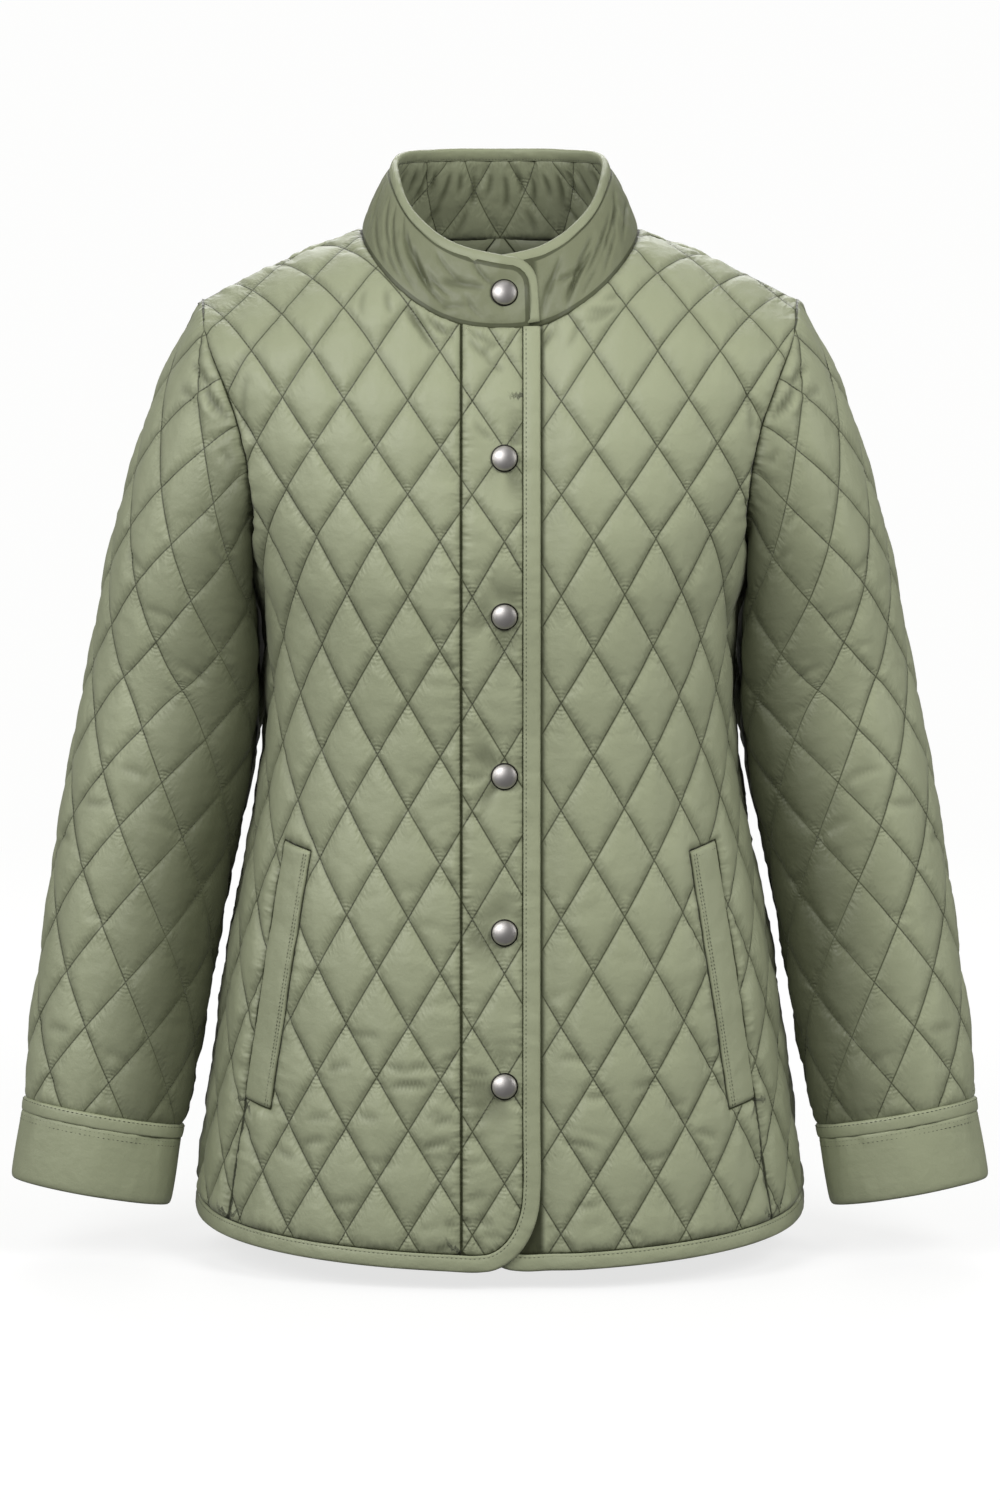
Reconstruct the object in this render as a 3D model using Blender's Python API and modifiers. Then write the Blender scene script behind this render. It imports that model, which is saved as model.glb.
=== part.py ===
"""Hip-length quilted jacket with a stand collar, filled out as if worn, open at neck, hem and cuffs.

Frame: metres, +Z up, -Y the front, +X the wearer's left. The origin is the middle of the neck, level
with the shoulder seams. Each cloth piece is drawn flat, as it would be cut, and then laid on the body,
sleeve or collar form. A flat point is (along, up): the distance round the form and the height on it.
"""

import math

import bmesh
import bpy
import numpy as np
from mathutils import Vector
from mathutils.geometry import delaunay_2d_cdt

# Cloth
CLOTH = 0.0016              # thickness at a stitch line or a seam
PUFF = 0.0036               # how far the padding rises between stitch lines
PUFF_INSET = 0.28           # place of the raised points in a quilted rhomb, as a share of its side
SEAM_FADE = 0.016           # distance from a seam over which the padding rises
SEAM_GAP = 0.0004           # clear distance between two sewn pieces
COLLAR_GAP = 0.0009         # the same at the neck seam, where the pieces meet at an angle
STEP = 0.002                # distance used for slopes on a form
POINT_MERGE = 0.0002        # flat points closer than this become one
RAISED_MARGIN = 0.0035      # raised points keep this far from a piece's edge
PLAIN_MARGIN = 0.002        # and the points of its plain face this far
LINE_STEPS = 401            # places tried where a point on a line is looked up

# Quilting
QUILT_WIDTH = 0.043         # a rhomb from corner to corner, across
SLEEVE_ROW = 0.0347         # half a rhomb's height on a sleeve and on the collar
BODY_ROWS = (               # stitch crossings on the body: row number, height
    (-13, -0.7293), (-11, -0.6593), (-7, -0.5191), (0, -0.2652), (2, -0.1916), (6, -0.0691), (14, 0.1789),
)
RIGHT_CROSSING = -0.003     # along, of a crossing in row 0 of the right front
LEFT_CROSSING = 0.0625      # along, of a crossing in row 0 of the left front
SLEEVE_CROSSING = -0.183    # up, of a crossing on a sleeve's front line
SIDE_GAP = 0.5 * SEAM_GAP

# Body form, the inner face of the cloth: height, half width, depth in front, depth behind
BODY = (
    (-0.740, 0.2090, 0.150, 0.137),
    (-0.665, 0.2050, 0.150, 0.136),
    (-0.630, 0.2005, 0.149, 0.134),
    (-0.561, 0.1915, 0.146, 0.129),
    (-0.492, 0.1820, 0.141, 0.122),
    (-0.4225, 0.1690, 0.135, 0.113),
    (-0.371, 0.1600, 0.131, 0.107),
    (-0.330, 0.1560, 0.130, 0.104),
    (-0.290, 0.1555, 0.132, 0.104),
    (-0.250, 0.1585, 0.135, 0.107),
    (-0.225, 0.1665, 0.136, 0.110),
    (-0.200, 0.1745, 0.135, 0.112),
    (-0.160, 0.1930, 0.129, 0.111),
    (-0.100, 0.2130, 0.115, 0.103),
    (-0.050, 0.2350, 0.090, 0.088),
    (0.000, 0.2450, 0.078, 0.074),
    (0.040, 0.2500, 0.070, 0.066),
)
BODY_BENT_UP = -0.10        # above this height the body form is bent both ways
BODY_SQUARENESS = 2.4       # exponent of the body's sections, 2 being an ellipse
NECK_HALF = 0.093           # half width of the neck at the shoulder seams
SHOULDER_HALF = 0.206       # half width at the shoulder points
SHOULDER_SLOPE = 0.395      # fall of the shoulder line
SHOULDER_BEND = 0.060       # height over which the body turns in to the shoulder line
SHOULDER_BACK = 0.006       # the shoulder seam lies this far behind the middle
NECK_FRONT = -0.053         # height of the neck seam at the front
NECK_BACK = -0.012          # height of the neck seam behind
NECK_SQUARENESS = 2.3
UNDERARM = -0.225           # height of the armhole's lowest point

# Armholes on the flat pieces, from shoulder to underarm: along, up (the ends are worked out)
ARMHOLE_FRONT = ((0.206, -0.057), (0.194, -0.093), (0.185, -0.120), (0.180, -0.158), (0.190, -0.197))
ARMHOLE_BACK = ((0.208, -0.060), (0.200, -0.098), (0.195, -0.135), (0.195, -0.172), (0.205, -0.203))
ARMHOLE_POINTS = 22

# Front edges and hem
FRONT_LAP = 0.027           # each front passes the middle by this much
PLACKET_SEAM = 0.026        # seam between placket and right front
EDGE_BINDING = 0.011        # width of the binding on front edges and hem
COLLAR_BINDING = 0.0085
BINDING_THICK = 0.0032
BINDING_END = 0.0006        # the hem bindings end this far short of the side seams
BINDING_SECTION = (         # share of the width from the fold, share of the thickness
    (0.0, 0.5), (0.12, 0.95), (0.93, 0.94), (1.0, 0.62), (1.0, 0.0), (0.10, 0.04),
)
CORNER_ALONG = 0.040        # size of the rounded lower front corners
CORNER_UP = 0.055
HEM_MIDDLE = -0.685         # height of the hem at the middle of the front
HEM_RISE = 0.020            # the hem is this much higher at the side seams
EDGE_POINTS = 14            # points down the straight part of a front edge
CORNER_POINTS = 8
HEM_POINTS = 13             # points along the hem of a front
CORNER_CLEAR = 0.003        # points nearer than this to a corner of an outline are left out
NECK_CLEAR = 0.010          # and on a front edge this near to the neck seam
UNDERLAP = 0.0044           # the left front lies this much deeper under the placket
UNDERLAP_FADE = 0.030
LAP_PUFF = 0.3              # padding left where the fronts lap, as a share

# Pocket welts on the fronts: middle of the upper end, middle of the lower end, width
WELT_TOP = (0.1468, -0.405)
WELT_LOW = (0.1760, -0.5795)
WELT_WIDTH = 0.025
WELT_THICK = 0.0032
WELT_RINGS = 8
WELT_DROP = 0.2             # the seam below a welt is followed down this far for the hem
WELT_SECTION = (            # share of the width from the middle, share of the thickness
    (-0.5, 0.0), (-0.5, 0.6), (-0.44, 1.0), (0.0, 1.06), (0.44, 1.0), (0.5, 0.6), (0.5, 0.0), (0.0, 0.0),
)

# Sleeve form: distance from the shoulder point, middle outwards, middle backwards, half width, half depth
SLEEVE_TILT = math.radians(10)
SLEEVE = (
    (0.1956, -0.0345, 0.007, 0.0610, 0.0745),
    (0.2230, -0.0370, 0.009, 0.0636, 0.0725),
    (0.2499, -0.0380, 0.010, 0.0650, 0.0702),
    (0.2850, -0.0372, 0.008, 0.0649, 0.0675),
    (0.3213, -0.0343, 0.005, 0.0625, 0.0648),
    (0.3737, -0.0319, 0.000, 0.0598, 0.0610),
    (0.4437, -0.0330, -0.008, 0.0587, 0.0560),
    (0.5141, -0.0327, -0.016, 0.0558, 0.0500),
    (0.5492, -0.0332, -0.020, 0.0530, 0.0460),
    (0.6200, -0.0334, -0.027, 0.0520, 0.0420),
)
SLEEVE_CLEAR = 0.0128       # the sleeve form keeps this far from the body form, which leaves room for padding
SLEEVE_CLEAR_BLEND = 0.006
SLEEVE_HEAD_DROP = 0.0490   # the sleeve's distances start this far below the origin
SLEEVE_END = 0.5515
CUFF_STRIP = (0.5519, 0.5612)
CUFF = (0.5616, 0.6075)
CUFF_THICK = 0.0030
STRIP_THICK = 0.0042
CUFF_ROUNDING = 0.0010
CUFF_SIDES = 24
CAP_PULL = 0.28             # how far a sleeve runs straight out of the armhole
CAP_PULL_UNDER = 0.47       # and at the underarm point
CAP_PULL_POWER = 3          # higher keeps that to a shorter part of the armhole
CAP_FALL = 0.75             # how steeply it falls there at the shoulder point
FOLD_LINES = (0.007, 0.016) # lines of points in the fold under the arm, at these distances from the seam
FOLD_REACH = 0.070
FOLD_START = 0.002          # they start this far from the seam under the arm
SLEEVE_BENT_UP = -0.12      # above this the sleeve form is bent both ways

# Collar: its upper edge, from the middle of the back (0) to the middle of the front (1)
COLLAR_TOP = (
    (0.00, 0.000, 0.064, 0.0510),
    (0.22, 0.042, 0.054, 0.0515),
    (0.42, 0.069, 0.022, 0.0510),
    (0.58, 0.069, -0.012, 0.0400),
    (0.74, 0.057, -0.044, 0.0195),
    (0.87, 0.034, -0.067, 0.0030),
    (1.00, 0.000, -0.078, -0.0060),
)
COLLAR_PUFF = 0.0026
COLLAR_CORNER = 0.022
COLLAR_UNDERLAP = 0.0034

# Snaps: height of each on the placket, the first on the collar
SNAP_ALONG = -0.003
SNAP_COLLAR_UP = 0.022
SNAP_HEIGHTS = (-0.137, -0.2415, -0.3505, -0.4555, -0.5585)
SNAP_RADIUS = 0.0092
PLACKET_PUFF = 0.8          # padding of the placket, as a share
SNAP_PRESS = 0.030          # the padding is pressed down within this distance of a snap
SNAP_SEAT = 0.0006          # a cap's foot stands this far off the cloth
SNAP_PROFILE = (            # share of the radius, height
    (0.0, 0.0046), (0.34, 0.0043), (0.66, 0.0034), (0.88, 0.0021), (1.0, 0.0009), (0.98, 0.0), (0.0, 0.0),
)
SNAP_SIDES = 16

# Materials: colour, roughness, metallic
FINISHES = {
    "quilted_cloth": ((0.285, 0.300, 0.205, 1.0), 0.55, 0.0),
    "plain_cloth": ((0.275, 0.290, 0.195, 1.0), 0.50, 0.0),
    "snap_metal": ((0.42, 0.40, 0.38, 1.0), 0.30, 1.0),
}


# ---------------------------------------------------------------- curves and tables

def smooth(table, at):
    """Values of a smooth curve through a table whose first column is the place along it."""
    rows = np.asarray(table, float)
    place, values = rows[:, 0], rows[:, 1:]
    slope = np.gradient(values, place, axis=0)
    at = np.clip(np.asarray(at, float), place[0], place[-1])
    first = np.clip(np.searchsorted(place, at, side="right") - 1, 0, len(place) - 2)
    length = (place[first + 1] - place[first])[..., None]
    t = (at - place[first])[..., None] / length
    low, high = values[first], values[first + 1]
    low_slope, high_slope = slope[first] * length, slope[first + 1] * length
    return (low * (2 * t**3 - 3 * t**2 + 1) + low_slope * (t**3 - 2 * t**2 + t)
            + high * (3 * t**2 - 2 * t**3) + high_slope * (t**3 - t**2))


def lengths(points):
    """Distance along a line of points, from its start."""
    return np.concatenate([[0.0], np.cumsum(np.linalg.norm(np.diff(points, axis=0), axis=1))])


def resample(points, count):
    """The same line with evenly spaced points."""
    run = lengths(points)
    at = np.linspace(0, run[-1], count)
    return np.stack([np.interp(at, run, points[:, i]) for i in range(points.shape[1])], axis=1)


def curve_through(points, count):
    """Evenly spaced points on a smooth curve through a few points."""
    points = np.asarray(points, float)
    run = lengths(points)
    fine = smooth(np.column_stack([run, points]), np.linspace(0, run[-1], 8 * count))
    return resample(fine, count)


def fade(x):
    """0 below 0, 1 above 1, smooth between."""
    x = np.clip(x, 0.0, 1.0)
    return x * x * (3 - 2 * x)


def grid_value(grid, row, column):
    """Value of a grid of points between its rows and columns."""
    row = np.clip(row, 0, grid.shape[0] - 1.000001)
    column = np.clip(column, 0, grid.shape[1] - 1.000001)
    r, c = row.astype(int), column.astype(int)
    fr, fc = row - r, column - c
    if grid.ndim == 3:
        fr, fc = fr[..., None], fc[..., None]
    low = grid[r, c] * (1 - fc) + grid[r, c + 1] * fc
    high = grid[r + 1, c] * (1 - fc) + grid[r + 1, c + 1] * fc
    return low * (1 - fr) + high * fr


# ---------------------------------------------------------------- body form

RING_HEIGHTS = np.linspace(BODY[0][0], BODY[-1][0], 157)
RING_SHARES = 97


def body_rings(behind):
    """Quarter sections of the body at every height: points at even distances, and their length."""
    half, front, back = smooth(BODY, RING_HEIGHTS).T
    depth = back if behind else front
    turn = np.linspace(0, math.pi / 2, 400)
    shape_x = np.sin(turn) ** (2 / BODY_SQUARENESS)
    shape_y = np.cos(turn) ** (2 / BODY_SQUARENESS)
    rings, quarter = [], []
    for a, b in zip(half, depth):
        line = np.column_stack([a * shape_x, b * shape_y])
        rings.append(resample(line, RING_SHARES))
        quarter.append(lengths(line)[-1])
    return np.array(rings), np.array(quarter)


RINGS = {False: body_rings(False), True: body_rings(True)}


def side_length(behind, up):
    """Distance from the middle of the front, or back, to the side seam at a height."""
    return np.interp(up, RING_HEIGHTS, RINGS[behind][1])


def ring_point(behind, along, height):
    """X and Y on the body's section at a height; along may pass the middle or the side seam."""
    rings, quarter = RINGS[behind]
    row = (height - RING_HEIGHTS[0]) / (RING_HEIGHTS[1] - RING_HEIGHTS[0])
    share = np.abs(along) / np.interp(height, RING_HEIGHTS, quarter)
    past_side = share > 1
    place = grid_value(rings, row, np.where(past_side, 2 - share, share) * (RING_SHARES - 1))
    x = np.where(along < 0, -place[..., 0], place[..., 0])
    y = np.where(past_side, -place[..., 1], place[..., 1])
    return x, (y if behind else -y)


def bend_start(behind, along):
    """Height at which the body starts to turn in to the shoulder line."""
    x, _ = ring_point(behind, along, np.full_like(along, BODY[-3][0]))
    return SHOULDER_SLOPE * (NECK_HALF - np.abs(x)) - SHOULDER_BEND


def bend_points(behind, along, turn):
    """Points of the turn to the shoulder line; turn runs from 0 to a right angle."""
    height = bend_start(behind, along) + SHOULDER_BEND * np.sin(turn)
    x, y = ring_point(behind, along, height)
    return np.stack([x, SHOULDER_BACK + (y - SHOULDER_BACK) * np.cos(turn), height], axis=-1)


def bend_table(behind, along):
    """Angles of the turn and the distance along it for each."""
    turn = np.linspace(0, math.pi / 2, 15)
    points = np.stack([bend_points(behind, along, np.full_like(along, t)) for t in turn])
    gaps = np.linalg.norm(np.diff(points, axis=0), axis=-1)
    return turn, np.concatenate([np.zeros((1,) + along.shape), np.cumsum(gaps, axis=0)])


def shoulder_up(behind, along):
    """Flat height of the shoulder line."""
    along = np.atleast_1d(np.asarray(along, float))
    return bend_start(behind, along) + bend_table(behind, along)[1][-1]


def body_point(behind, along, up):
    """Point of the body form for a flat point of the wearer's left side."""
    along, up = np.asarray(along, float), np.asarray(up, float)
    x, y = ring_point(behind, along, up)
    point = np.stack([x, y, up], axis=-1)
    beyond = up - bend_start(behind, along)
    high = beyond > 0
    if high.any():
        turn, run = bend_table(behind, along[high])
        step = np.clip((run < beyond[high]).sum(axis=0) - 1, 0, len(turn) - 2)
        pick = np.arange(step.size)
        start, end = run[step, pick], run[step + 1, pick]
        angle = turn[step] + (turn[1] - turn[0]) * (beyond[high] - start) / (end - start)
        point[high] = bend_points(behind, along[high], angle)
    return point


def front_point(along, up):
    return body_point(False, along, up)


def back_point(along, up):
    return body_point(True, along, up)


def laid(form, along, up, out):
    """Points on a form, moved out from it."""
    along, up = np.atleast_1d(along), np.atleast_1d(up)
    out = np.broadcast_to(np.asarray(out, float), along.shape)
    across = form(along + STEP, up) - form(along - STEP, up)
    rise = form(along, up + STEP) - form(along, up - STEP)
    normal = np.cross(across, rise)
    normal /= np.linalg.norm(normal, axis=1)[:, None]
    facing = 1.0 if form is front_point else -1.0
    return form(along, up) + normal * (out * facing)[:, None]


# ---------------------------------------------------------------- seams of the body, drawn flat

def neck_up(behind, along):
    """Flat height of the neck seam."""
    corner = neck_corner(behind)
    low = NECK_BACK if behind else NECK_FRONT
    share = np.clip(np.abs(along) / corner[0], 0, 1)
    return corner[1] + (low - corner[1]) * (1 - share**NECK_SQUARENESS) ** (1 / NECK_SQUARENESS)


def along_at_shoulder(behind, half_width):
    """Distance from the middle at which the shoulder line has a half width."""
    along = np.linspace(0.5 * NECK_HALF, 1.2 * SHOULDER_HALF, LINE_STEPS)
    x = bend_points(behind, along, np.full_like(along, math.pi / 2))[:, 0]
    return float(np.interp(half_width, x, along))


def neck_corner(behind):
    along = along_at_shoulder(behind, NECK_HALF)
    return along, float(shoulder_up(behind, along)[0])


def neck_seam(behind, first, last, count):
    """Points of the neck seam between two distances from the middle, closer where it is steep."""
    corner = neck_corner(behind)[0]
    turn = np.linspace(math.asin(max(first / corner, -1)), math.asin(min(last / corner, 1)), count)
    along = corner * np.sin(turn)
    return np.column_stack([along, neck_up(behind, along)])


def armhole(behind):
    """The armhole seam, from the shoulder point to the underarm."""
    start = along_at_shoulder(behind, SHOULDER_HALF)
    start = (start, float(shoulder_up(behind, start)[0]))
    end = (float(side_length(behind, UNDERARM)), UNDERARM)
    return curve_through((start,) + (ARMHOLE_BACK if behind else ARMHOLE_FRONT) + (end,), ARMHOLE_POINTS)


def shoulder_seam(behind, count):
    """The shoulder seam, from the armhole to the neck."""
    along = np.linspace(armhole(behind)[0, 0], neck_corner(behind)[0], count)
    return np.column_stack([along, shoulder_up(behind, along)])


def side_seam(behind, low, count):
    """The side seam, from a height up to the underarm, with closer points towards the underarm."""
    up = UNDERARM + (low - UNDERARM) * np.linspace(1, 0, count) ** 1.5
    return np.column_stack([side_length(behind, up), up])


def hem_up(behind, along):
    """Flat height of the hem."""
    side = side_length(behind, HEM_MIDDLE + HEM_RISE)
    return HEM_MIDDLE + HEM_RISE * np.clip(np.abs(along) / side, 0, 1.1) ** 1.6


def moved_in(path, distance):
    """A line moved to its left."""
    run = np.gradient(path, axis=0)
    run /= np.linalg.norm(run, axis=1)[:, None]
    return path + np.column_stack([-run[:, 1], run[:, 0]]) * distance


def front_edge():
    """Finished edge of a front: down from the neck, round the corner, along the hem to the side seam."""
    straight_low = HEM_MIDDLE + CORNER_UP
    top = float(neck_up(False, FRONT_LAP - EDGE_BINDING)) - COLLAR_GAP
    straight_up = np.linspace(top, straight_low, EDGE_POINTS)
    straight = np.column_stack([np.full(EDGE_POINTS, -FRONT_LAP), straight_up])
    turn = np.linspace(0, math.pi / 2, CORNER_POINTS + 1)[1:]
    corner_along = -FRONT_LAP + CORNER_ALONG * (1 - np.cos(turn))
    corner_up = straight_low - CORNER_UP * np.sin(turn)
    corner_up += np.linspace(0, 1, CORNER_POINTS) * (hem_up(False, corner_along[-1]) - HEM_MIDDLE)
    side = float(side_length(False, HEM_MIDDLE + HEM_RISE)) - BINDING_END
    along = np.linspace(-FRONT_LAP + CORNER_ALONG, side, HEM_POINTS)[1:]
    hem = np.column_stack([along, hem_up(False, along)])
    return np.vstack([straight, np.column_stack([corner_along, corner_up]), hem])


def back_hem():
    """Finished hem edge of the back, from one side seam to the other."""
    side = float(side_length(True, HEM_MIDDLE + HEM_RISE)) - BINDING_END
    along = np.linspace(-side, side, 2 * HEM_POINTS - 1)
    return np.column_stack([along, hem_up(True, along)])


def welt_frame():
    """Lower end, direction up the welt, direction to the front, and length."""
    low, top = np.array(WELT_LOW), np.array(WELT_TOP)
    length = np.linalg.norm(top - low)
    up = (top - low) / length
    return low, up, np.array([-up[1], up[0]]), length


def welt_notch(hem_line):
    """Cut in a front for its welt and for the seam from the welt's outer edge down to the hem."""
    low, up, inward, length = welt_frame()
    side = 0.5 * WELT_WIDTH + SEAM_GAP
    outer_low = low - inward * side - up * SEAM_GAP
    outer_top = low - inward * side + up * (length + SEAM_GAP)
    inner_top = low + inward * side + up * (length + SEAM_GAP)
    inner_low = low + inward * side - up * SEAM_GAP
    slit_low = low - inward * (side - SEAM_GAP) - up * SEAM_GAP
    drops = np.linspace(0, WELT_DROP, LINE_STEPS)
    places = slit_low - np.outer(drops, up)
    above_hem = places[:, 1] - np.interp(places[:, 0], hem_line[:, 0], hem_line[:, 1])
    foot_inner = slit_low - up * np.interp(0, -above_hem, drops)
    foot_outer = foot_inner - inward * SEAM_GAP
    outer = np.linspace(outer_low, outer_top, 7)
    inner = np.linspace(inner_top, inner_low, 7)
    slit_up = np.linspace(foot_inner, slit_low, 4)
    slit_down = np.linspace(outer_low, foot_outer, 4)
    return foot_inner[0], foot_outer[0], np.vstack([slit_up, inner[::-1], outer[::-1][:-1], slit_down])


# ---------------------------------------------------------------- sleeve form

AXIS = np.array([math.sin(SLEEVE_TILT), 0.0, -math.cos(SLEEVE_TILT)])
SPREAD = np.array([math.cos(SLEEVE_TILT), 0.0, math.sin(SLEEVE_TILT)])
SHOULDER_POINT = np.array([SHOULDER_HALF, 0.0, -SLEEVE_HEAD_DROP])
SLEEVE_COLUMNS = 161
CAP_LEVEL = SLEEVE[0][0]
SLEEVE_LEVELS = np.linspace(CAP_LEVEL, SLEEVE[-1][0], 90)


def sleeve_rings():
    """Sections of the sleeve tube from the underarm level to the cuff, from outside round by the front.

    Each section is square to the arm, which comes forward towards the hand.
    """
    turn = np.linspace(0, 2 * math.pi, 721)
    sizes = smooth(SLEEVE, SLEEVE_LEVELS)
    forward = np.gradient(sizes[:, 1], SLEEVE_LEVELS)
    rings, girth = [], []
    for level, lean, (middle, back, half_x, half_y) in zip(SLEEVE_LEVELS, forward, sizes):
        centre = SHOULDER_POINT + AXIS * level + SPREAD * middle + np.array([0, back, 0])
        across = np.array([0, 1.0, 0]) - AXIS * lean
        line = centre + np.outer(np.cos(turn) * half_x, SPREAD) - np.outer(np.sin(turn) * half_y, across)
        line[:, 0] = beside_body(line)
        rings.append(resample(line, SLEEVE_COLUMNS))
        girth.append(lengths(line)[-1])
    return np.array(rings), np.array(girth)


def beside_body(points):
    """How far out points lie once they are pushed clear of the body's side, with a soft turn."""
    half, front, back = smooth(BODY, points[:, 2]).T
    share = np.clip(np.abs(points[:, 1]) / np.where(points[:, 1] > 0, back, front), 0, 1)
    limit = half * (1 - share**BODY_SQUARENESS) ** (1 / BODY_SQUARENESS) + SLEEVE_CLEAR
    over = points[:, 0] - limit
    return limit + 0.5 * (over + np.sqrt(over**2 + SLEEVE_CLEAR_BLEND**2))


def armhole_ring():
    """The armhole in space, from the shoulder round by the front, and its directions.

    They are the way out across the seam, on the panel, and the way outwards from the panel.
    """
    points, ways, normals = [], [], []
    for behind in (False, True):
        flat = armhole(behind)
        form = back_point if behind else front_point
        on_form = laid(form, flat[:, 0], flat[:, 1], 0.0)
        normal = laid(form, flat[:, 0], flat[:, 1], 1.0) - on_form
        way = np.cross(normal, np.gradient(on_form, axis=0))
        way *= np.sign(way[len(way) // 2, 0])
        points.append(on_form)
        ways.append(way)
        normals.append(normal)
    half = (SLEEVE_COLUMNS + 1) // 2
    front, back = (resample(line, half) for line in points)
    ring = np.vstack([front, back[::-1][1:]])
    way, normal = (np.vstack([unit_rows(pair[0], half), unit_rows(pair[1], half)[::-1][1:]])
                   for pair in (ways, normals))
    return ring, way, normal


def unit_rows(rows, count):
    """Directions spread over more places, each made one long."""
    place = np.linspace(0, 1, len(rows))
    at = np.linspace(0, 1, count)
    out = np.stack([np.interp(at, place, rows[:, i]) for i in range(rows.shape[1])], axis=1)
    return out / np.linalg.norm(out, axis=1)[:, None]


def sleeve_cap(rings):
    """The sleeve's head: lines from the armhole to the first section, and their lengths."""
    seam, way, normal = armhole_ring()
    end = rings[0]
    end_way = rings[1] - rings[0]
    end_way /= np.linalg.norm(end_way, axis=1)[:, None]
    turn = np.linspace(0, 2 * math.pi, SLEEVE_COLUMNS)
    leave = np.column_stack([np.ones_like(turn), -0.2 * np.sin(turn), -CAP_FALL * (1 + np.cos(turn))])
    leave /= np.linalg.norm(leave, axis=1)[:, None]
    tangent = np.gradient(seam, axis=0)
    outside = np.cross(tangent, leave)
    outside /= np.linalg.norm(outside, axis=1)[:, None]
    outside *= np.sign(outside[0, 2])
    fold = np.clip(-np.sum(outside * way, axis=1), 0, 1)[:, None]
    start = seam + way * (SEAM_GAP + CLOTH * fold) + normal * (SEAM_GAP + CLOTH) * fold
    reach = np.linalg.norm(end - start, axis=1)[:, None]
    under = (0.5 - 0.5 * np.cos(turn))[:, None] ** CAP_PULL_POWER
    pull = CAP_PULL + (CAP_PULL_UNDER - CAP_PULL) * under
    t = np.linspace(0, 1, 65)[:, None, None]
    lines = (start * (2 * t**3 - 3 * t**2 + 1) + leave * reach * pull * (t**3 - 2 * t**2 + t)
             + end * (3 * t**2 - 2 * t**3) + end_way * reach * 0.9 * (t**3 - t**2))
    columns = [resample(lines[::-1, i], 49) for i in range(SLEEVE_COLUMNS)]
    run = [lengths(lines[:, i])[-1] for i in range(SLEEVE_COLUMNS)]
    return np.stack(columns, axis=1), np.array(run)


SLEEVE_RINGS, SLEEVE_GIRTH = sleeve_rings()
CAP_GRID, CAP_LENGTH = sleeve_cap(SLEEVE_RINGS)


def girth_at(level):
    return np.interp(level, SLEEVE_LEVELS, SLEEVE_GIRTH)


def sleeve_column(along, level):
    """Column of the sleeve's grids; along is measured from the sleeve's front line."""
    share = along / girth_at(np.maximum(level, CAP_LEVEL)) + 0.25
    return np.mod(share, 1.0) * (SLEEVE_COLUMNS - 1)


def sleeve_point(along, up):
    """Point of the left sleeve for a flat point; up is minus the distance from the shoulder."""
    along, level = np.asarray(along, float), -np.asarray(up, float)
    column = sleeve_column(along, level)
    row = (level - CAP_LEVEL) / (SLEEVE_LEVELS[1] - SLEEVE_LEVELS[0])
    point = grid_value(SLEEVE_RINGS, row, column)
    head = level < CAP_LEVEL
    if head.any():
        length = np.interp(column[head], np.arange(SLEEVE_COLUMNS), CAP_LENGTH)
        share = (CAP_LEVEL - level[head]) / length
        inside = grid_value(CAP_GRID, np.clip(share, 0, 1) * (len(CAP_GRID) - 1), column[head])
        last = grid_value(CAP_GRID, np.full(share.shape, len(CAP_GRID) - 1.0), column[head])
        before = grid_value(CAP_GRID, np.full(share.shape, len(CAP_GRID) - 2.0), column[head])
        past = np.clip(share - 1, 0, 1)[:, None] * (len(CAP_GRID) - 1)
        point[head] = inside + (last - before) * past
    return point


def sleeve_head():
    """The seam of the sleeve's head cut flat, from the front underarm to the back underarm."""
    share = np.linspace(1.0, 0.0, 61)
    along = (share - 0.75) * girth_at(CAP_LEVEL)
    length = np.interp(np.mod(share - 0.5, 1.0) * (SLEEVE_COLUMNS - 1), np.arange(SLEEVE_COLUMNS), CAP_LENGTH)
    along[0] -= SIDE_GAP
    along[-1] += SIDE_GAP
    return np.column_stack([along, length - CAP_LEVEL])


def sleeve_folds():
    """Points along the fold under the arm, inside the seam of the sleeve's head."""
    head = sleeve_head()
    lines = []
    for distance in FOLD_LINES:
        line = moved_in(head, distance)
        from_end = np.minimum(head[0, 0] - line[:, 0], line[:, 0] - head[-1, 0])
        lines.append(line[(from_end > FOLD_START) & (from_end < FOLD_REACH)])
    return np.vstack(lines)


def sleeve_outline():
    """The sleeve cut flat: up the front underarm edge, over the head, down the back underarm edge."""
    levels = np.linspace(SLEEVE_END, CAP_LEVEL, 15)
    front = np.column_stack([0.25 * girth_at(levels) - SIDE_GAP, -levels])
    back = np.column_stack([-0.75 * girth_at(levels) + SIDE_GAP, -levels])
    head = sleeve_head()
    bottom = np.column_stack([np.linspace(back[0, 0], front[0, 0], 16)[1:-1], np.full(14, -SLEEVE_END)])
    return np.vstack([front, head, back[::-1], bottom])


# ---------------------------------------------------------------- collar form

def neck_ring():
    """Upper face of the neck seam in space, from the middle of the back to past the middle of the front."""
    parts = []
    corner_back, corner_front = neck_corner(True)[0], neck_corner(False)[0]
    for form, behind, corner in ((back_point, True, corner_back), (front_point, False, corner_front)):
        flat = moved_in(neck_seam(behind, 0.0, corner, 50), COLLAR_GAP)
        parts.append(laid(form, flat[:, 0], flat[:, 1], CLOTH))
    line = np.vstack([parts[0], parts[1][::-1]])
    line[0, 0] = line[-1, 0] = 0.0
    return resample(line, 121)


NECK_RING = neck_ring()
COLLAR_HALF = float(lengths(NECK_RING)[-1])


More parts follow.
